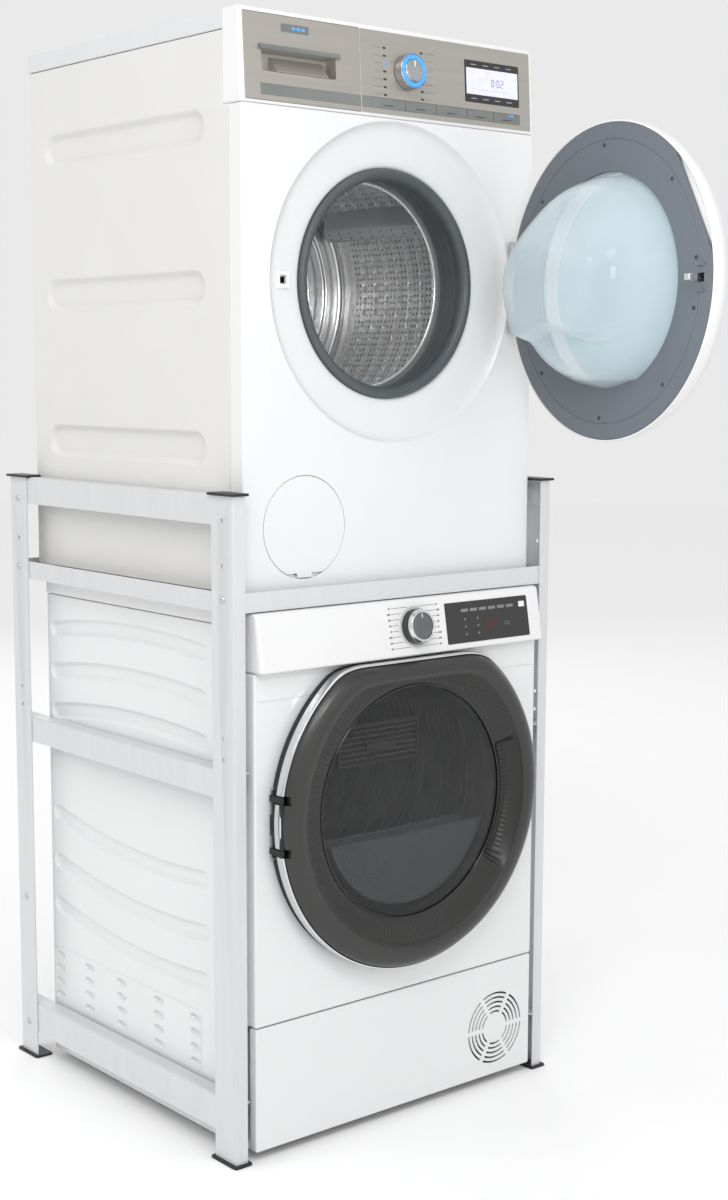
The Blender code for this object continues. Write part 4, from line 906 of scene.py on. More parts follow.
    tilt = turn(math.degrees(-math.atan2(FASCIA_LEAN, WASHER_SIZE.z - WASHER_SPLIT)), "X")
    seat = Vector(joint("washer_program_knob_turn")["pos_m"])
    knob_space = Matrix.Translation(seat) @ tilt
    body = fillet([(0.0, -0.0140), (0.0180, -0.0140), (0.0180, -0.0155), (0.0248, -0.0155),
                   (0.0256, -0.0175), (0.0270, -0.0165), (0.0275, -0.0030), (0.0270, -0.0016),
                   (0.0058, -0.0016), (0.0058, 0.0150), (0.0, 0.0150)], 0.0008, closed=False)
    put("washer_knob_body", turned(body, 72, closed=False), knob_metal, "washer_program_knob",
        knob_space, ("washer_program_knob",))
    light = fillet([(0.0182, -0.0145), (0.0182, -0.0172), (0.0205, -0.0180), (0.0235, -0.0176),
                    (0.0247, -0.0165), (0.0247, -0.0150)], 0.0006)
    put("washer_knob_light", turned(light, 72), blue_light, "washer_program_knob", knob_space)
    face = fillet([(0.0, -0.0190), (0.0150, -0.0186), (0.0178, -0.0172), (0.0178, -0.0142),
                   (0.0, -0.0142)], 0.0010, closed=False)
    put("washer_knob_face", turned(face, 72, closed=False), knob_metal, "washer_program_knob", knob_space)
    put("washer_knob_pointer", bars([(-0.0009, 0.0009, 0.0060, 0.0150)], -0.0194, -0.0180), mark_white,
        "washer_program_knob", knob_space)


def washer_drawer():
    left, right, low, high = PLATE
    body = "washer_drawer"
    grip = (0.0400, 0.1800, 0.7585, 0.7895)
    outline = round_box(left, DRAWER_SPLIT - 0.0005, low, high, 0.0015)
    pocket = [(round_box(*grip, 0.0030), 0.0), (round_box(*grip, 0.0030), 0.0015)]
    pocket += [(inset(round_box(*grip, 0.0030), 0.0008), 0.0200),
               (inset(round_box(*grip, 0.0030), 0.0028), 0.0228)]
    put("washer_drawer_front", sheet(folded(outline, 0.0130, 0.0008), [(pocket, True)]), fascia_silver,
        body, WASHER, (body,), fascia_lean, thick=SHEET_METAL)
    ledge = fillet([(-0.0045, 0.0), (-0.0052, 0.0036), (-0.0030, 0.0074), (-0.0004, 0.0080),
                    (-0.0004, 0.0)], 0.0012)
    shape = prism([(y, z) for y, z in ledge], grip[0] - 0.004, grip[1] + 0.006)
    # The section lies in (y, z), drawn out along X.
    carry = Matrix(((0, 0, 1, 0), (1, 0, 0, 0), (0, 1, 0, 0), (0, 0, 0, 1)))
    put("washer_drawer_ledge", shape, strip_grey, body, WASHER @ Matrix.Translation((0,
            fascia_lean(0, grip[3]), grip[3] - 0.0005)) @ carry)
    scoop = fillet([(0.002, 0.0), (0.0215, 0.0), (0.0215, 0.024), (0.017, 0.018), (0.007, 0.006)], 0.003)
    shape = prism(scoop, grip[0] + 0.030, grip[1] - 0.012)
    put("washer_drawer_scoop", shape, fascia_silver, body, WASHER @ Matrix.Translation((0,
            fascia_lean(0, grip[2]), grip[2] + 0.0010)) @ carry)
    put("washer_drawer_strip", bars([(0.0370, DRAWER_SPLIT - 0.0012, *STRIP)], -0.0006, 0.0004),
        strip_grey, body, WASHER, lean=fascia_lean)
    window = round_box(0.078, 0.130, 0.8180, 0.8300, 0.0015)
    put("washer_dosing_window", slab(window, -0.0005, 0.0004, bevel=0.0002), strip_grey, body, WASHER,
        lean=fascia_lean)
    put("washer_dosing_lamps", bars([(0.098 + 0.009 * k, 0.104 + 0.009 * k, 0.8222,
                                      0.8262) for k in range(3)], -0.0008, 0.0), blue_light, body,
        WASHER, lean=fascia_lean)

    top, depth = 0.800, 0.064
    rim = round_box(0.016, 0.214, 0.030, 0.290, 0.006)
    cells = []
    for first, last in ((0.0195, 0.0790), (0.0835, 0.1470), (0.1515, 0.2105)):
        mouth_line = round_box(first, last, 0.0335, 0.2865, 0.008)
        cells.append(([(mouth_line, 0.0), (inset(mouth_line, 0.0008), 0.0015),
                       (inset(mouth_line, 0.0022), depth - 0.008), (inset(mouth_line, 0.0060), depth)],
                      True))
    put("washer_drawer_tray", sheet(folded(rim, depth + 0.002, 0.0015), cells), white_plastic, body,
        WASHER @ Matrix.Translation((0, 0, top)) @ ABOVE, thick=0.0010)
    stem = bars([(0.030, 0.200, 0.7400, 0.7550)], 0.0135, 0.0305, 0.001)
    put("washer_drawer_bracket", stem, white_plastic, body, WASHER)


# ---- washer drum, seal and door ----
def wall_tiles(shape, radius, columns, rows, kinds):
    """A drum's wall: square tiles with holes, and tiles with raised bumps two columns wide.

    rows are the y of each tile's edges; kinds say what each row holds.
    """
    grid = {}

    def at(u, v, lift=0.0):
        angle = 2 * math.pi * u / columns
        return ((radius - lift) * math.cos(angle), v, (radius - lift) * math.sin(angle))

    def corner(column, row):
        key = (column % columns, row)
        if key not in grid:
            grid[key] = shape.verts.new(at(key[0], rows[row]))
        return grid[key]

    def ring(u, v, half_u, half_v, share, lift, start=22.5):
        points = []
        for k in range(8):
            t = math.radians(start + 45 * k)
            points.append(shape.verts.new(at(u + half_u * share * math.cos(t),
                    v + half_v * share * math.sin(t), lift)))
        return points

    arc = 2 * math.pi * radius / columns
    for row, kind in enumerate(kinds):
        low, high = rows[row], rows[row + 1]
        step = 1 if kind == "hole" else 2
        for column in range(0, columns, step):
            a, b = corner(column, row), corner(column + step, row)
            c, d = corner(column + step, row + 1), corner(column, row + 1)
            centre_u, centre_v = column + step / 2, (low + high) / 2
            if kind == "plain":
                middle_low, middle_high = corner(column + 1, row), corner(column + 1, row + 1)
                shape.faces.new((a, middle_low, middle_high, d))
                shape.faces.new((middle_low, b, c, middle_high))
            elif kind == "hole":
                size = 0.0023
                o = ring(centre_u, centre_v, size / arc, size, 1.0, 0.0)
                # o[0] is right of top, then anticlockwise in steps of 45 degrees
                for first, second, one, two in ((b, c, o[7], o[0]), (c, d, o[1], o[2]),
                    (d, a, o[3], o[4]), (a, b, o[5], o[6])):
                    shape.faces.new((first, second, two, one))
                for first, one, two in ((c, o[0], o[1]), (d, o[2], o[3]), (a, o[4], o[5]), (b, o[6], o[7])):
                    shape.faces.new((first, two, one))
            else:
                size, lift = 0.0062, 0.0034
                middle_low, middle_high = corner(column + 1, row), corner(column + 1, row + 1)
                o = ring(centre_u, centre_v, size / arc, size, 1.0, 0.0)
                shape.faces.new((b, c, o[0], o[7]))
                shape.faces.new((c, middle_high, o[1], o[0]))
                shape.faces.new((middle_high, d, o[3], o[2]))
                shape.faces.new((middle_high, o[2], o[1]))
                shape.faces.new((d, a, o[4], o[3]))
                shape.faces.new((a, middle_low, o[5], o[4]))
                shape.faces.new((middle_low, b, o[7], o[6]))
                shape.faces.new((middle_low, o[6], o[5]))
                before = o
                for share, height in ((0.82, 0.45), (0.55, 0.85)):
                    after = ring(centre_u, centre_v, size / arc, size, share, lift * height)
                    bridge(shape, before, after)
                    before = after
                bridge(shape, before, [shape.verts.new(at(centre_u, centre_v, lift))])
    return shape


def drum_wall(columns, radius, low, high, period):
    """Row edges and kinds: a bump row, then two rows of holes, over and over."""
    rows, kinds = [low, low + 0.012], ["plain"]
    while rows[-1] + period < high - 0.010:
        for kind, size in (("bump", 0.0134), ("hole", 0.0088), ("hole", 0.0088)):
            rows.append(rows[-1] + size)
            kinds.append(kind)
    rows.append(high)
    kinds.append("plain")
    return wall_tiles(bmesh.new(), radius, columns, rows, kinds)


def lifter(shape, angle, wall, height, span, half_foot, half_top):
    """A rounded rib along the inside of a drum, sloping down at its ends."""
    steps = [(span[0], 0.15), (span[0] + 0.006, 0.62), (span[0] + 0.020, 0.95), (span[0] + 0.035, 1.0),
             (span[1] - 0.035, 1.0), (span[1] - 0.020, 0.95), (span[1] - 0.006, 0.62), (span[1], 0.15)]
    rows = []
    for y, share in steps:
        outline = fillet([(-half_foot, wall + 0.0005), (-half_top * 1.5, wall - height * share * 0.80),
                          (-half_top, wall - height * share), (half_top, wall - height * share),
                          (half_top * 1.5, wall - height * share * 0.80), (half_foot, wall + 0.0005)],
                         0.010, closed=False, steps=3)
        row = []
        for across, radius in outline:
            turned_by = angle + across / wall
            row.append(shape.verts.new((radius * math.cos(turned_by), y, radius * math.sin(turned_by))))
        rows.append(row)
    for first, second in zip(rows, rows[1:]):
        bridge(shape, first, second)
    shape.faces.new(rows[0])
    shape.faces.new(rows[-1])


def washer_drum():
    space = WASHER @ Matrix.Translation((PORT[0], 0, PORT[1]))
    body = "washer_drum"
    wall = 0.2440
    put("washer_drum_wall", drum_wall(144, wall, 0.0980, 0.4180, 0.0310), steel, body, space, (body,),
        thick=0.0008, crease=60, closed=False)
    front = fillet([(0.1620, 0.0905), (0.1585, 0.0895), (0.1580, 0.0855), (0.1620, 0.0842),
                    (0.1900, 0.0870), (0.2300, 0.0850), (0.2445, 0.0880), (0.2448, 0.0982),
                    (0.2438, 0.0982), (0.2432, 0.0895), (0.2300, 0.0868), (0.1900, 0.0888),
                    (0.1635, 0.0862)], 0.0035)
    put("washer_drum_front", turned(front, 128), back_steel, body, space)
    face = [(0.2440, 0.4178), (0.2432, 0.4280), (0.2360, 0.4335), (0.2240, 0.4335), (0.2190, 0.4270),
            (0.2060, 0.4270), (0.2010, 0.4330), (0.1860, 0.4330), (0.1810, 0.4265), (0.1640, 0.4265),
            (0.1590, 0.4325), (0.1400, 0.4325), (0.1350, 0.4255), (0.1120, 0.4255), (0.1060, 0.4320),
            (0.0600, 0.4320), (0.0520, 0.4250), (0.0, 0.4235)]
    face = fillet(face, 0.0042, closed=False)
    back = [(radius, y + 0.0012) for radius, y in reversed(face)]
    put("washer_drum_back", turned(face + back, 128, closed=True), back_steel, body, space)
    shaft = [(0.0, 0.4300), (0.0300, 0.4300), (0.0300, 0.4365), (0.0147, 0.4400), (0.0147, 0.5160),
             (0.0, 0.5160)]
    put("washer_drum_shaft", turned(fillet(shaft, 0.001, closed=False), 48, closed=False), bolt_zinc,
        body, space)
    ribs = bmesh.new()
    for k in range(3):
        lifter(ribs, math.radians(120 * k + 30), wall - 0.0004, 0.046, (0.104, 0.412), 0.028, 0.0115)
    put("washer_drum_lifters", ribs, lifter_grey, body, space)
    dots = bmesh.new()
    for k in range(3):
        angle = math.radians(120 * k + 30)
        for m in range(9):
            y = 0.150 + 0.028 * m
            for side in (-0.0045, 0.0045):
                place = Matrix.Rotation(-angle, 4, "Y") @ Matrix.Translation((wall - 0.0462, y, side))
                turned_at(dots, place @ turn(90, "Z"), [(0.0017, 0.0), (0.0014, 0.0008), (0.0, 0.0009)], 10)
    put("washer_lifter_dots", dots, lamp_dark, body, space)


def washer_seal():
    space = WASHER @ Matrix.Translation((PORT[0], 0, PORT[1]))
    profile = [(0.1779, 0.0180), (0.1779, 0.0300), (0.1810, 0.0360), (0.1760, 0.0440), (0.1800, 0.0520),
               (0.1735, 0.0600), (0.1715, 0.0770), (0.1665, 0.0790), (0.1650, 0.0640), (0.1668, 0.0560),
               (0.1640, 0.0480), (0.1660, 0.0400), (0.1612, 0.0320), (0.1600, 0.0250), (0.1630, 0.0180),
               (0.1690, 0.0140), (0.1745, 0.0142)]
    seal = put("washer_door_gasket", turned(fillet(profile, 0.0035), 128), gasket_grey, None, space,
               ("washer_door_seal",))
    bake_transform(seal)


CHORD_FROM, CHORD_TO = math.radians(130), math.radians(172)
RING_RADIUS = 0.2390


def chord_limit(angle, radius):
    """The ring's outer edge: round, but cut off straight above the hook."""
    middle_angle = (CHORD_FROM + CHORD_TO) / 2
    distance = RING_RADIUS * math.cos((CHORD_TO - CHORD_FROM) / 2)
    facing = math.cos(angle - middle_angle)
    return min(radius, distance / facing) if facing > 0.3 else radius


def opening_radius(angle, radius, floor=0.148):
    """The ring's opening: round, flattened along its foot."""
    down = -math.sin(angle)
    return min(radius, floor / down) if down > 0.2 else radius


def divided(points, most):
    """A profile with points added so that none is farther than most from the next."""
    finer = [points[0]]
    for before, after in zip(points, points[1:]):
        count = max(1, math.ceil((Vector(after) - Vector(before)).length / most))
        for k in range(1, count + 1):
            finer.append(tuple(Vector(before).lerp(Vector(after), k / count)))
    return finer


def bowl_step(x, z):
    """Where the bowl's lower third steps back, below a wavy line: 0 above it, 1 below."""
    wave = -0.070 + 0.009 * math.cos(x / 0.024)
    return soft_step(min(1.0, max(0.0, (wave - z) / 0.016)))


def washer_door():
    body = "washer_door"
    shell = fillet([(0.2425, -0.0035), (0.2425, -0.0220), (0.2330, -0.0400), (0.2080, -0.0530),
                    (0.1720, -0.0490), (0.1690, -0.0440), (0.1690, -0.0170), (0.1715, -0.0170),
                    (0.1730, -0.0462), (0.2070, -0.0500), (0.2300, -0.0385), (0.2395, -0.0215),
                    (0.2395, -0.0035)], 0.006)
    edge = HINGE_OFFSET - 0.0150
    put("washer_door_rim", turned(shell, 144), white_plastic, body, DOOR, ("washer_door_shell",),
        carve=[((edge, -0.072, -0.078), (0.270, 0.018, 0.078))])
    ledge = []
    steps = 24
    for k in range(steps + 1):
        t = CHORD_FROM - 0.02 + (CHORD_TO - CHORD_FROM + 0.04) * k / steps
        ledge.append((0.2394 * math.cos(t), 0.2394 * math.sin(t)))
    for k in reversed(range(steps + 1)):
        t = CHORD_FROM - 0.02 + (CHORD_TO - CHORD_FROM + 0.04) * k / steps
        inner = chord_limit(t, RING_RADIUS) - 0.0060
        ledge.append((inner * math.cos(t), inner * math.sin(t)))
    put("washer_door_grip", slab(ledge, -0.0150, -0.0096, bevel=0.0006), white_plastic, body, DOOR)

    rows = [("in", 0.1655, -0.0090), ("in", 0.1655, -0.0040), ("in", 0.1662, -0.0032),
            ("in", 0.1675, -0.0030), ("line", 0.2135, -0.0030), ("line", 0.2139, -0.0037),
            ("line", 0.2148, -0.0037), ("line", 0.2152, -0.0030), ("out", 0.2375, -0.0030),
            ("out", 0.2386, -0.0034), ("out", 0.2390, -0.0044), ("out", 0.2390, -0.0090)]

    def ring_reach(radius, angle, index):
        kind = rows[index][0]
        if kind == "in":
            return opening_radius(angle, radius, 0.148 + (radius - 0.1655))
        limit = chord_limit(angle, RING_RADIUS) - (0.2390 - radius if kind == "out" else 0.0)
        return min(radius, limit) if kind == "out" else min(radius, limit - 0.006 + (radius - 0.2152))

    plate = turned([(radius, y) for _, radius, y in rows], 240, reach=ring_reach)
    put("washer_door_inner_ring", plate, ring_grey, body, DOOR, ("washer_door_ring",),
        carve=[((edge + 0.0005, -0.03, -0.078), (0.270, 0.01, 0.078)),
               ((-0.2220, -0.03, -0.0065), (-0.2075, 0.01, 0.0065))])
    knuckles = bmesh.new()
    for low in (-0.044, 0.015):
        profile = fillet([(0.0040, low), (0.0075, low), (0.0075, low + 0.029), (0.0040, low + 0.029)],
                         0.0006)
        turned(profile, 32, start=knuckles)
    bmesh.ops.transform(knuckles, matrix=Matrix.Translation((HINGE_OFFSET, -HINGE_PROUD, 0)) @ turn(90,
            "X") @ Matrix.Scale(-1, 4, (0, 1, 0)), verts=knuckles.verts)
    for low in (-0.042, 0.017):
        block((HINGE_OFFSET - 0.040, -0.0125, low), (HINGE_OFFSET - 0.0055, -0.0088, low + 0.025),
              0.0008, knuckles)
    put("washer_door_knuckles", knuckles, bolt_zinc, body, DOOR)

    screws = bmesh.new()
    head = [(0.0030, -0.0032), (0.0030, -0.0024), (0.0024, -0.0020), (0.0016, -0.0022),
            (0.0014, -0.0032), (0.0, -0.0034)]
    for degrees in (-92, -138, -48, 140, 92, 44, 8, -12, 198):
        radius = 0.2065
        t = math.radians(180 - degrees)
        turned(head, 16, (radius * math.cos(t), radius * math.sin(t)), closed=False, start=screws)
    put("washer_door_screws", screws, lamp_dark, body, DOOR)
    clips = bmesh.new()
    for low in (0.0165, -0.0210):
        block((-0.2230, -0.0040, low), (-0.2070, -0.0008, low + 0.0045), 0.0006, clips)
    put("washer_door_clips", clips, ring_grey, body, DOOR)

    outer = [(0.1765, -0.0098), (0.1640, -0.0098), (0.1600, -0.0040), (0.1580, 0.0080),
             (0.1540, 0.0300), (0.1490, 0.0500), (0.1430, 0.0700), (0.1340, 0.0880), (0.1220, 0.1010),
             (0.1060, 0.1100), (0.0800, 0.1155), (0.0500, 0.1175), (0.0200, 0.1180), (0.0, 0.1180)]
    inner = [(0.0, 0.1143), (0.0200, 0.1143), (0.0500, 0.1137), (0.0780, 0.1118), (0.1030, 0.1066),
             (0.1185, 0.0980), (0.1303, 0.0858), (0.1391, 0.0688), (0.1451, 0.0490), (0.1501, 0.0290),
             (0.1541, 0.0075), (0.1561, -0.0050), (0.1600, -0.0150), (0.1765, -0.0150)]
    profile = divided(fillet(outer, 0.008, closed=False) + fillet(inner, 0.008, closed=False), 0.0045)
    depths = [y for _, y in profile]

    def bowl_reach(radius, angle, index):
        y = depths[index]
        x, z = radius * math.cos(angle), radius * math.sin(angle)
        high = min(1.0, max(0.0, (z - 0.010) / 0.120))
        depth = max(y, 0.0)
        slope = 0.30 * soft_step(high)
        step = 0.30 * bowl_step(x, z)
        return radius, y - depth * (slope + step)

    put("washer_door_bowl", turned(profile, 160, reach=bowl_reach, closed=True), bowl_glass, body, DOOR,
        ("washer_door_glass",), crease=60)
    cover = fillet([(0.0, -0.0485), (0.1000, -0.0480), (0.1680, -0.0465), (0.1680, -0.0435),
                    (0.1000, -0.0450), (0.0, -0.0455)], 0.002, closed=False)
    put("washer_door_cover", turned(cover, 128, closed=False), cover_blue, body, DOOR)

    hook_at = Vector(joint("washer_door_hook_turn")["pos_m"])
    centre = DOOR.inverted() @ hook_at
    side = [(-0.012, -0.0052), (0.036, -0.0052), (0.036, 0.0052), (-0.012, 0.0052)]
    window = [(0.010, -0.0028), (0.024, -0.0028), (0.024, 0.0028), (0.010, 0.0028)]
    along = Matrix(((0, 1, 0, 0), (1, 0, 0, 0), (0, 0, -1, 0), (0, 0, 0, 1)))
    hook_space = DOOR @ Matrix.Translation(centre)
    plate = slab(side, -0.0010, 0.0022, [window[::-1]], 0.0005)
    put("washer_hook_plate", plate, chrome, "washer_door_hook", hook_space @ along, ("washer_door_hook",))
    barb = fillet([(0.0034, 0.0360), (0.0034, 0.0472), (-0.0055, 0.0452), (-0.0055, 0.0420),
                   (-0.0012, 0.0385), (-0.0012, 0.0340), (0.0010, 0.0340)], 0.0008)
    put("washer_hook_barb", prism(barb, -0.0045, 0.0045), chrome, "washer_door_hook", hook_space)


# ---- dryer casing ----
def dryer_casing():
    top = DRYER_SIZE.z - DRYER_SHELL_TOP
    outline = side_outline(DRYER_SIZE, DRYER_SPLIT + 0.0004, top)

    def rib(level, rise, front=0.135, rear=0.610, apex=0.36):
        """An arched line of (y, z) points between a rib's ends."""
        points = []
        for k in range(15):
            t = k / 14
            y = front + (rear - front) * t
            points.append((y, level + rise * (1 - ((t - apex) / (1 - apex)) ** 2)))
        return points

    lines = [rib(level, 0.026) for level in (0.772, 0.699, 0.629)]
    lines += [rib(level, -0.040, apex=0.30) for level in (0.444, 0.357, 0.278)]
    for hand, space, flip in both_sides(DRYER_SIZE):
        edge = side_edge(outline, flip)
        hollows = []
        for line in lines:
            points = [(flip * y, z - 0.017 if z > 0.5 else z) for y, z in line if 0.055 < y < 0.585]
            hollows.append(recess(points, 0.0155, 0.0068, 0.0070))
        for y in (0.577, 0.480, 0.378, 0.266, 0.160):
            for k in range(4):
                z = 0.178 - 0.0245 * k
                slot_line = [(flip * (y - 0.009), z), (flip * (y + 0.009), z)]
                hollows.append(louvre(slot_line))
        put(f"dryer_side_{hand}", sheet(folded(edge, 0.012, 0.002), hollows), enamel,
            space=DRYER @ space, thick=SHEET_METAL,
            replaces=("dryer_cabinet",) if hand == "left" else ())
        bead = bmesh.new()
        corners = [(0.592, 0.075), (0.592, 0.193), (0.145, 0.193), (0.145, 0.075)]
        path = [(flip * y, 0.0002, z) for y, z in fillet(corners, 0.012, closed=False)]
        tube(path, 0.0012, 8, bead)
        put(f"dryer_louvre_bead_{hand}", bead, enamel, space=DRYER @ space)

    back = back_outline(DRYER_SIZE, top)
    drum = (-DRYER_PORT[0], 0.470)
    raised = [(circle(drum, 0.252 - 0.012 * k / 4, 96),
               -0.007 * (k / 4) ** 2 * (3 - k / 2)) for k in range(5)]
    back_space = DRYER @ Matrix.Translation((0, DRYER_SIZE.y, 0)) @ BACK
    vents = []
    for x in (-0.470, -0.400, -0.190, -0.120):
        for k in range(4):
            line = [(x - 0.022, 0.060 + 0.022 * k), (x + 0.022, 0.060 + 0.022 * k)]
            vents.append(recess(line, 0.0055, 0.0040, 0.0030, 3))
    put("dryer_back", sheet(folded(back, 0.010, 0.002), [(raised, True), *vents]), galvanised,
        space=back_space, thick=SHEET_METAL)
    screws = bmesh.new()
    for k in range(8):
        t = math.radians(22.5 + 45 * k)
        turned([(0.0045, 0), (0.0042, -0.0016), (0.0015, -0.0022), (0.0, -0.0012)], 16,
               (drum[0] + 0.268 * math.cos(t), drum[1] + 0.268 * math.sin(t)), closed=False,
               start=screws)
    put("dryer_back_screws", screws, bolt_zinc, space=back_space)
    gland("dryer", back_space, (-0.510, 0.090))
    floor_pan("dryer", DRYER, DRYER_SIZE)
    feet("dryer", DRYER, DRYER_SIZE, -DRYER_AT.z)
    lid = round_box(0.0, DRYER_SIZE.x, CAP_DEPTH + 0.0006, 0.604, 0.004)
    put("dryer_lid", slab(lid, 0.0, 0.0243, bevel=0.0022), white_plastic,
        space=DRYER @ Matrix.Translation((0, 0, DRYER_SIZE.z)) @ ABOVE, replaces=("dryer_worktop",))


def louvre(line):
    """A small vent, pressed in deepest along its lower edge."""
    loops = []
    for share, depth in ((0.0, 0.0), (0.2, 0.0030), (0.55, 0.0062), (0.8, 0.0066)):
        loops.append((capsule(line, 0.0062 * (1 - share)), depth))
    return loops, True


SLOT_RINGS = (0.0284, 0.0365, 0.0446, 0.0527, 0.0608)


def ring_slot(centre, radius, half_width, start, sweep, steps=8):
    edge = []
    for k in range(steps + 1):
        t = start + sweep * k / steps
        edge.append((centre[0] + radius * math.cos(t), centre[1] + radius * math.sin(t)))
    return capsule(edge, half_width, 4)


def dryer_front():
    low, high = local_box("dryer_front_panel", DRYER_AT)
    outline = round_box(0.0, DRYER_SIZE.x, low.z, high.z, 0.004)
    mouth_loops = ([(circle(DRYER_PORT, radius, 128), y) for radius,
                    y in ((0.2085, 0.0), (0.2062, 0.0008), (0.2050, 0.0030), (0.2050, 0.0200))], False)
    seams = []
    for first, last in ((0.006, 0.118), (0.478, 0.590)):
        seams.append(recess([(first, 0.7120), (last, 0.7120)], 0.0009, 0.0012, 0.0004, 2))
    put("dryer_front_skin", sheet(folded(outline, 0.0298, 0.0035), [mouth_loops, *seams]), enamel,
        space=DRYER, thick=SHEET_METAL, replaces=("dryer_front_panel",))

    flap_low, flap_high = local_box("dryer_plinth_flap", DRYER_AT)
    outline = round_box(*face_of(flap_low, flap_high), 0.003)
    centre = (0.512, 0.087)
    slots = []
    for radius in SLOT_RINGS:
        gap = 0.0048 / radius
        for k in range(6):
            line = ring_slot(centre, radius, 0.0018, math.radians(60 * k) + gap, math.radians(60) - 2 * gap)
            slots.append(([(line, 0.0), (inset(line, 0.0002), 0.0006), (inset(line, 0.0002), 0.0030)],
                          False))
    put("dryer_plinth_face", sheet(folded(outline, 0.0155, 0.0025), slots), enamel, "dryer_plinth_flap",
        DRYER, ("dryer_plinth_flap",), thick=SHEET_METAL)
    cover = fillet([(0.0, 0.0100), (0.0660, 0.0100), (0.0660, 0.0046), (0.0680, 0.0046),
                    (0.0680, 0.0120), (0.0, 0.0120)], 0.0008, closed=False)
    put("dryer_grille_backing", turned(cover, 64, centre, closed=False), black_gloss,
        "dryer_plinth_flap", DRYER)


def dryer_controls():
    outline = round_box(0.0, DRYER_SIZE.x, DRYER_SPLIT + 0.0004, DRYER_SIZE.z, 0.006)
    low, high = local_box("dryer_display", DRYER_AT)
    screen = face_of(low, high, SCREEN_GAP)
    knob = middle("dryer_program_knob", DRYER_AT)
    knob_at = (knob.x, knob.z)
    put("dryer_panel_body", sheet(folded(outline, CAP_DEPTH - 0.0003, 0.0055),
                                  [opening(screen, 0.006), knob_hole(knob_at)]), white_plastic,
        space=DRYER, thick=SHEET_METAL, lean=panel_lean, replaces=("dryer_control_panel",))
    glass = round_box(*face_of(low, high), 0.0022)
    put("dryer_screen", slab(glass, -0.0010, 0.0040, bevel=0.0005), black_gloss, space=DRYER,
        lean=panel_lean, replaces=("dryer_display",))
    right, head = high.x, high.z
    put("dryer_key_mark", bars([(right - 0.0200, right - 0.0070, head - 0.0175, head - 0.0085)],
                               -0.0012, 0.0), mark_white, space=DRYER, lean=panel_lean)
    marks = [(low.x + 0.034 + 0.0205 * k, low.x + 0.050 + 0.0205 * k, head - 0.0160,
              head - 0.0112) for k in range(6)]
    marks += [(low.x + x, low.x + x + 0.0032, low.z + z, low.z + z + 0.0032) for x in (0.040,
            0.068) for z in (0.012, 0.024, 0.036)]
    marks += [(low.x + 0.128, low.x + 0.142, low.z + 0.026, low.z + 0.0268),
              (low.x + 0.128, low.x + 0.142, low.z + 0.022, low.z + 0.0228)]
    put("dryer_screen_marks", bars(marks, -0.0011, -0.0006, 0.0), print_grey, space=DRYER, lean=panel_lean)
    put("dryer_screen_digits", digits("0:35", low.x + 0.088, low.z + 0.0200, 0.0120, -0.0012, -0.0006),
        red_digits, space=DRYER, lean=panel_lean)

    lines, ends = [], []
    for k in range(8):
        level = knob_at[1] + 0.0315 - 0.0090 * k
        reach = math.sqrt(max(0.0, 0.0325 ** 2 - (level - knob_at[1]) ** 2)) + 0.001
        for side in (-1, 1):
            near, far = sorted((knob_at[0] + side * reach, knob_at[0] + side * 0.0470))
            lines.append((near, far, level - 0.00035, level + 0.00035))
            size = 0.0030 + 0.0012 * ((k * 3) % 4)
            near, far = sorted((knob_at[0] + side * 0.0490, knob_at[0] + side * (0.0490 + size)))
            ends.append((near, far, level - 0.0013, level + 0.0013))
    put("dryer_knob_lines", bars(lines, -0.0003, 0.0004, 0.0), print_grey, space=DRYER, lean=panel_lean)
    put("dryer_knob_marks", bars(ends, -0.0003, 0.0004, 0.0), print_grey, space=DRYER, lean=panel_lean)

    angle = math.degrees(math.atan2(PANEL_PROUD[0] - PANEL_PROUD[1], DRYER_SIZE.z - DRYER_SPLIT))
    seat = Vector(joint("dryer_program_knob_turn")["pos_m"])
    space = Matrix.Translation(seat) @ turn(-angle, "X")
    body = fillet([(0.0, -0.0180), (0.0240, -0.0180), (0.0275, -0.0150), (0.0290, -0.0030),
                   (0.0285, -0.0012), (0.0058, -0.0012), (0.0058, 0.0140), (0.0, 0.0140)], 0.0010,
                  closed=False)
    put("dryer_knob_body", turned(body, 72, closed=False), anthracite, "dryer_program_knob", space,
        ("dryer_program_knob",))
    bezel = fillet([(0.0212, -0.0178), (0.0215, -0.0208), (0.0245, -0.0212), (0.0272, -0.0165),
                    (0.0272, -0.0150), (0.0238, -0.0176)], 0.0008)
    put("dryer_knob_bezel", turned(bezel, 72), chrome, "dryer_program_knob", space)
    face = fillet([(0.0, -0.0200), (0.0150, -0.0203), (0.0211, -0.0196), (0.0211, -0.0178),
                   (0.0, -0.0178)], 0.0008, closed=False)
    put("dryer_knob_face", turned(face, 72, closed=False), knob_face, "dryer_program_knob", space)
    put("dryer_knob_pointer", bars([(-0.0007, 0.0007, 0.0130, 0.0195)], -0.0207, -0.0192), mark_white,
        "dryer_program_knob", space)
    track = fillet([(0.0305, -0.0006), (0.0325, -0.0012), (0.0345, -0.0006), (0.0345, 0.0004),
                    (0.0305, 0.0004)], 0.0004)
    put("dryer_knob_track", turned(track, 72), pale_plastic, space=space)


# ---- dryer door ----
FLAT = 0.2315  # height of the door's flat top above its centre
HINGE_ARM = (0.036, 0.046)  # the hinge's two arms, from and to this height above and below its centre
PIN_RADIUS = 0.0022
PIN_PROUD = 0.0015  # past each side of its arm


def flat_top(radius, angle, limit, soft=0.020):
    """A round edge with a flat top, its corners softened."""
    up = math.sin(angle)
    if up <= 0.05:
        return radius
    cut = limit / up
    gap = (cut - radius) / soft
    if gap > 1:
        return radius
    if gap < -1:
        return cut
    return min(radius, cut) - soft * (1 - abs(gap)) ** 2 / 4


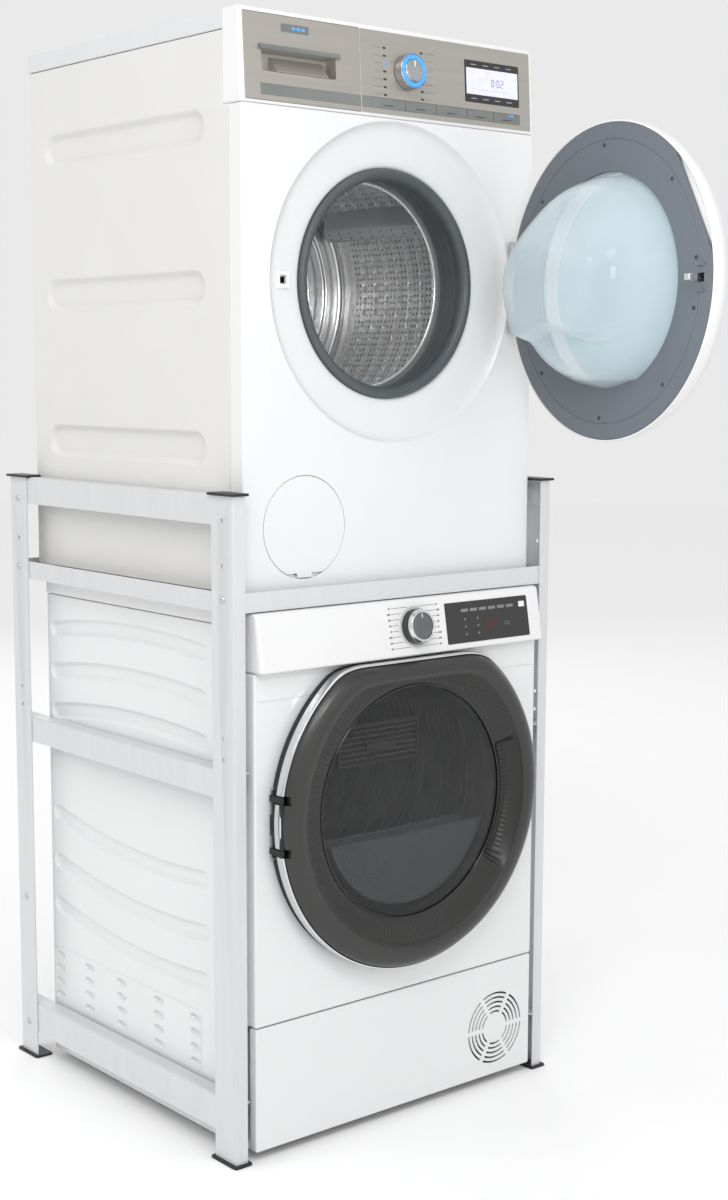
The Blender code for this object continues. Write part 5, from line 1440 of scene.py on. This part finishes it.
def flat_profile(points):
    """A profile whose points may carry the height that their edge is cut off at."""
    limits = [point[2] if len(point) > 2 else None for point in points]

    def reach(radius, angle, index):
        return flat_top(radius, angle, limits[index]) if limits[index] else radius

    return [point[:2] for point in points], reach


GRIP_FROM, GRIP_TO = math.radians(-40), math.radians(22)


def grip_depth(angle, share):
    """How far the finger hollow is pushed into the ring's inner slope."""
    angle = (angle + math.pi) % (2 * math.pi) - math.pi
    if not GRIP_FROM < angle < GRIP_TO:
        return 0.0
    from_end = min(angle - GRIP_FROM, (GRIP_TO - angle) * 3.0)
    rise = min(1.0, from_end / 0.16)
    return 0.016 * soft_step(rise) * math.sin(math.pi * min(1.0, max(0.0, share)))


def dryer_door():
    body = "dryer_door"
    space = DRYER @ Matrix.Translation((DRYER_PORT[0], 0, DRYER_PORT[1]))
    hand_room = ((0.238, -0.0300, -0.050), (0.300, 0.010, 0.050))
    arms = [((-0.320, -0.080, -HINGE_ARM[1] - 0.002), (-0.2590, 0.010, -HINGE_ARM[0] + 0.002)),
            ((-0.320, -0.080, HINGE_ARM[0] - 0.002), (-0.2590, 0.010, HINGE_ARM[1] + 0.002))]
    plate_room = ((-0.2700, -0.0090, -0.057), (-0.2300, 0.010, 0.057))
    notch = [hand_room, *arms, plate_room]
    gasket, reach = flat_profile([(0.2705, -0.0148, FLAT - 0.0015), (0.2705, -0.0020, FLAT - 0.0015),
                                  (0.2668, -0.0020, FLAT - 0.0050), (0.2668, -0.0148, FLAT - 0.0050)])
    put("dryer_door_gasket", turned(gasket, 240, reach=reach), rubber_black, body, space, carve=notch)
    trim, reach = flat_profile([(0.2722, -0.0150, FLAT), (0.2726, -0.0160, FLAT + 0.0004),
                                (0.2726, -0.0276, FLAT + 0.0004), (0.2716, -0.0298, FLAT - 0.0006),
                                (0.2698, -0.0306, FLAT - 0.0026), (0.2690, -0.0290, FLAT - 0.0034),
                                (0.2690, -0.0150, FLAT - 0.0034)])
    put("dryer_door_trim", turned(trim, 240, reach=reach), chrome, body, space, carve=notch)
    face = [(0.2686, -0.0152, FLAT - 0.0040), (0.2686, -0.0300, FLAT - 0.0040),
            (0.2672, -0.0340, FLAT - 0.0055), (0.2630, -0.0395, FLAT - 0.0090),
            (0.2560, -0.0440, FLAT - 0.0140), (0.2470, -0.0462, FLAT - 0.0200),
            (0.2390, -0.0462, FLAT - 0.0250), (0.2340, -0.0448, FLAT - 0.0285),
            (0.2320, -0.0430, FLAT - 0.0300), (0.2340, -0.0400, FLAT - 0.0285),
            (0.2420, -0.0425, FLAT - 0.0240), (0.2560, -0.0400, FLAT - 0.0150),
            (0.2640, -0.0320, FLAT - 0.0090), (0.2650, -0.0152, FLAT - 0.0080)]
    profile, reach = flat_profile(face)
    put("dryer_door_face", turned(profile, 240, reach=reach), anthracite, body, space,
        ("dryer_door_ring",), carve=notch)

    ribs = 170
    rows = [(0.2322, -0.0425, FLAT - 0.0300), (0.2290, -0.0408, FLAT - 0.0330), (0.2230, -0.0384, None),
            (0.2130, -0.0345, None), (0.2030, -0.0306, None), (0.1950, -0.0275, None),
            (0.1890, -0.0252, None), (0.1880, -0.0215, None), (0.1950, -0.0225, None),
            (0.2120, -0.0290, None), (0.2322, -0.0375, FLAT - 0.0300)]

    def cone_reach(radius, angle, index):
        _, y, limit = rows[index]
        out = flat_top(radius, angle, limit) if limit else radius
        share = (0.2322 - radius) / (0.2322 - 0.1890)
        depth = y + grip_depth(angle, share) if index < 7 else y + grip_depth(angle, share) * 0.98
        if 1 <= index <= 5:
            depth += 0.0007 * (-1) ** round(angle * ribs / math.pi)
        return out, depth

    put("dryer_door_ribs", turned([(radius, y) for radius, y, _ in rows], ribs * 2, reach=cone_reach),
        dark_ribs, body, space, crease=24)
    window = fillet([(0.0, -0.0312), (0.1000, -0.0292), (0.1700, -0.0256), (0.1876, -0.0240),
                     (0.1876, -0.0212), (0.1700, -0.0228), (0.1000, -0.0264), (0.0, -0.0284)], 0.0015,
                    closed=False)
    put("dryer_door_lens", turned(window, 128, closed=False), tinted, body, space, ("dryer_door_window",))
    bezel = fillet([(0.1905, -0.0262), (0.1895, -0.0276), (0.1880, -0.0268), (0.1878, -0.0238),
                    (0.1900, -0.0238)], 0.0006)
    put("dryer_window_bezel", turned(bezel, 160), black_gloss, body, space)
    liner, reach = flat_profile([(0.2660, -0.0092, FLAT - 0.006), (0.2660, -0.0038, FLAT - 0.006),
                                 (0.2000, -0.0036), (0.1970, 0.0010), (0.1900, 0.0260),
                                 (0.1840, 0.0360), (0.1720, 0.0418), (0.1300, 0.0420), (0.0700, 0.0420),
                                 (0.0, 0.0420), (0.0, 0.0392), (0.0700, 0.0392), (0.1300, 0.0392),
                                 (0.1690, 0.0388), (0.1810, 0.0330), (0.1865, 0.0250), (0.1935, 0.0000),
                                 (0.1945, -0.0092)])
    put("dryer_door_bowl", turned(liner, 160, reach=reach, closed=False), clear_plastic, body, space,
        ("dryer_door_liner",), carve=notch)

    filter_box(body, space)
    tank_wall(body, space)
    dryer_hinge(body, space)


def dryer_hinge(body, space):
    """The hinge between the ring and the casing: two arms and pins, and the door's knuckle between them."""
    pin = Vector(joint("dryer_door_swing")["pos_m"]) - DRYER_AT
    x, y = pin.x - DRYER_PORT[0], pin.y
    near, far = HINGE_ARM
    upright = Matrix.Translation((x, y, 0)) @ turn(90, "X")
    fixed = block((x + 0.0010, -0.0042, -0.053), (x + 0.0280, -0.0004, 0.053), 0.0010)
    for side in (-1, 1):
        low, high = sorted((side * near, side * far))
        block((x - 0.0034, y - 0.0034, low), (x + 0.0034, -0.0010, high), 0.0012, fixed)
        low, high = sorted((side * (near - PIN_PROUD), side * (far + PIN_PROUD)))
        turned_at(fixed, upright, [(0.0, low), (PIN_RADIUS, low), (PIN_RADIUS, high), (0.0, high)], 24)
    put("dryer_hinge_bracket", fixed, end_cap_black, space=space, replaces=("dryer_door_hinge",))
    knuckle = fillet([(0.0026, -near + 0.001), (0.0036, -near + 0.001), (0.0036, near - 0.001),
                      (0.0026, near - 0.001)], 0.0003)
    shape = turned(knuckle, 32)
    bmesh.ops.transform(shape, matrix=upright, verts=shape.verts)
    put("dryer_door_knuckle", shape, end_cap_black, body, space)


def filter_box(body, space):
    """The filter behind the window's top: a frame with bars across it."""
    left, right, low, high = -0.118, 0.052, 0.060, 0.128
    near, far = 0.0200, 0.0270
    box = block((left, near, high - 0.008), (right, far, high), 0.0015)
    block((left, near, low), (right, far, low + 0.004), 0.0015, box)
    for x in (left, right - 0.004):
        block((x, near, low), (x + 0.004, far, high), 0.0015, box)
    block((left + 0.058, near - 0.002, low + 0.022), (right - 0.050, far, low + 0.034), 0.0015, box)
    put("dryer_filter_frame", box, print_grey, body, space)
    lines = bmesh.new()
    for k in range(6):
        level = low + 0.009 + 0.0088 * k
        block((left + 0.004, near + 0.002, level), (right - 0.004, far - 0.001, level + 0.0022), 0.0006,
              lines)
    put("dryer_filter_bars", lines, tank_plastic, body, space)


def tank_wall(body, space):
    """The clear water tank in the foot of the door: an arc-shaped trough."""
    outer, inner, rise = 0.1700, 0.1674, -0.055
    loops = []
    steps = 36
    for radius, y in ((outer, -0.0140), (outer + 0.0006, 0.0), (outer, 0.0310), (inner, 0.0286),
                      (inner, -0.0114)):
        begin = math.pi - math.asin(rise / radius)
        end = 3 * math.pi - begin
        loops.append([(radius * math.cos(begin + (end - begin) * k / steps), y,
                       radius * math.sin(begin + (end - begin) * k / steps)) for k in range(steps + 1)])
    shape = bmesh.new()
    rows = [[shape.verts.new(point) for point in loop] for loop in loops]
    for k in range(steps):
        for first, second in ((0, 1), (1, 2), (3, 4)):
            shape.faces.new((rows[first][k], rows[first][k + 1], rows[second][k + 1], rows[second][k]))
    for k in (0, 2, 3, 4):
        shape.faces.new(rows[k])
    for first, second in ((0, 4), (2, 3)):
        shape.faces.new((rows[first][0], rows[first][-1], rows[second][-1], rows[second][0]))
    for k in (0, -1):
        shape.faces.new((rows[0][k], rows[1][k], rows[2][k], rows[3][k], rows[4][k]))
    put("dryer_door_tank", shape, tank_plastic, body, space, ("dryer_water_tank",))
    level = -0.055
    rim = bmesh.new()
    half = math.sqrt(outer ** 2 - level ** 2)
    tube([(-half, -0.0120, level), (0, -0.0120, level - 0.0015), (half, -0.0120, level)], 0.0022, 8, rim)
    tube([(-half, 0.0290, level), (0, 0.0290, level - 0.0015), (half, 0.0290, level)], 0.0022, 8, rim)
    put("dryer_tank_rim", rim, tank_plastic, body, space)


def dryer_drum():
    space = DRYER @ Matrix.Translation((DRYER_PORT[0], 0, DRYER_PORT[1]))
    body = "dryer_drum"
    wall = 0.278
    profile = [(0.2150, 0.0750), (0.2180, 0.0752), (0.2700, 0.0760), (0.2795, 0.0800)]
    y = 0.100
    while y < 0.490:
        profile += [(0.2795, y), (0.2755, y + 0.004), (0.2755, y + 0.008), (0.2795, y + 0.012)]
        y += 0.052
    profile += [(0.2795, 0.5160), (0.2700, 0.5195), (0.0140, 0.5195), (0.0140, 0.5590), (0.0, 0.5590)]
    outer = fillet(profile, 0.003, closed=False, steps=3)
    inner = []
    for radius, depth in fillet(profile[:-3], 0.003, closed=False, steps=3):
        if depth > 0.515:
            depth -= SHEET_METAL
        elif depth < 0.079:
            depth += SHEET_METAL
        inner.append((max(0.0, radius - SHEET_METAL), depth))
    shape = turned(outer + [(0.0, 0.5180)] + inner[::-1], 128, closed=True)
    put("dryer_drum_shell", shape, steel, body, space, (body,))
    ribs = bmesh.new()
    for k in range(3):
        lifter(ribs, math.radians(120 * k + 30), wall - 0.0012, 0.042, (0.094, 0.496), 0.032, 0.012)
    put("dryer_drum_lifters", ribs, lifter_grey, body, space)


def dryer_inner_view():
    """The collar of the casing's mouth, which shows through the door's window."""
    space = DRYER @ Matrix.Translation((DRYER_PORT[0], 0, DRYER_PORT[1]))
    collar = fillet([(0.2045, 0.0210), (0.2040, 0.0600), (0.2120, 0.0700), (0.2200, 0.0700),
                     (0.2200, 0.0660), (0.2140, 0.0640), (0.2080, 0.0560), (0.2080, 0.0210)], 0.003)
    put("dryer_mouth_collar", turned(collar, 128), pale_plastic, space=space)


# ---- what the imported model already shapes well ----
CAD_FINISHES = {
    "stand_shelf_frame": aluminium,
    "stand_shelf_board": board_grey,
    "washer_drawer_housing": white_plastic,
    "washer_filter_plug": gasket_grey,
    "washer_drain_pump": tub_grey,
    "washer_door_hinge": bolt_zinc,
    "washer_tub": tub_grey,
    "washer_drum_pulley": iron,
    "washer_drive_belt": rubber_black,
    "washer_motor": iron,
    "washer_motor_pulley": bolt_zinc,
    "washer_counterweight": concrete,
    "washer_inlet_valve": tub_grey,
    "dryer_drive_belt": rubber_black,
    "dryer_motor": iron,
    "dryer_fan_rotor": galvanised,
    "dryer_condenser": galvanised,
    "dryer_lint_filter": white_plastic,
}


def carried_over():
    for node, material in CAD_FINISHES.items():
        mesh = frame["nodes"][node].data
        mesh.materials.clear()
        mesh.materials.append(material)


# ---- studio ----
FLOOR_RADIUS = 14.0
DAYLIGHT = 0.82  # strength of the even light from all round
LAMPS = (  # name, place, target, size in metres, watts
    ("key", (-2.6, -2.4, 4.2), (0, 0, 1.0), 1.6, 52),
    ("front", (0.6, -4.4, 2.2), (0, 0, 0.9), 2.4, 10),
    ("side", (-3.6, 1.6, 3.2), (0, 0.2, 0.9), 1.2, 22),
    ("back", (2.4, 4.0, 3.0), (0, 0, 1.0), 2.4, 20),
    ("porthole", (-0.55, -1.15, 1.55), (0.06, 0.25, 1.33), 0.3, 4),
)


def studio():
    shape = bmesh.new()
    rim = circle((0.0, 0.0), FLOOR_RADIUS)
    shape.faces.new([shape.verts.new((x, y, 0)) for x, y in rim])
    floor = linked("studio_floor", mesh_of("studio_floor", shape))
    floor.data.materials.append(finish("studio paper", (0.985, 0.985, 0.985), 0.9, spread=0.004, grain=0.0))

    world = bpy.data.worlds.new("studio")
    bpy.context.scene.world = world
    world.use_nodes = True
    background = world.node_tree.nodes["Background"]
    background.inputs["Color"].default_value = (1.0, 1.0, 1.0, 1)
    background.inputs["Strength"].default_value = DAYLIGHT
    for name, place, target, size, power in LAMPS:
        light = bpy.data.lights.new(name, "AREA")
        light.size = size
        light.energy = power
        lamp = linked(name, light)
        lamp.location = place
        lamp.rotation_euler = (Vector(target) - Vector(place)).to_track_quat("-Z", "Y").to_euler()


LENS, SENSOR = 55.0, 36.0  # millimetres
SHIFT = 0.010
YAW, PITCH, ROLL = 40.13, -7.57, 0.2  # degrees
EYE = Vector((-1.8953, -2.2455, 1.2179))
STEP_BACK = 0.03


def camera():
    data = bpy.data.cameras.new("photo_view")
    data.sensor_fit = "AUTO"
    data.sensor_width = SENSOR
    data.lens = LENS
    data.shift_y = SHIFT
    item = linked("photo_view", data)
    yaw, pitch, roll = (math.radians(value) for value in (YAW, PITCH, ROLL))
    forward = Vector((math.sin(yaw) * math.cos(pitch), math.cos(yaw) * math.cos(pitch), math.sin(pitch)))
    item.location = EYE - forward * STEP_BACK
    facing = forward.to_track_quat("-Z", "Y") @ Matrix.Rotation(roll, 3, "Z").to_quaternion()
    item.rotation_euler = facing.to_euler()
    bpy.context.scene.camera = item


stand()
washer_casing()
washer_front()
washer_controls()
washer_drawer()
washer_drum()
washer_seal()
washer_door()
dryer_casing()
dryer_front()
dryer_controls()
dryer_door()
dryer_drum()
dryer_inner_view()
carried_over()
studio()
camera()
bpy.context.scene.view_settings.view_transform = "Standard"
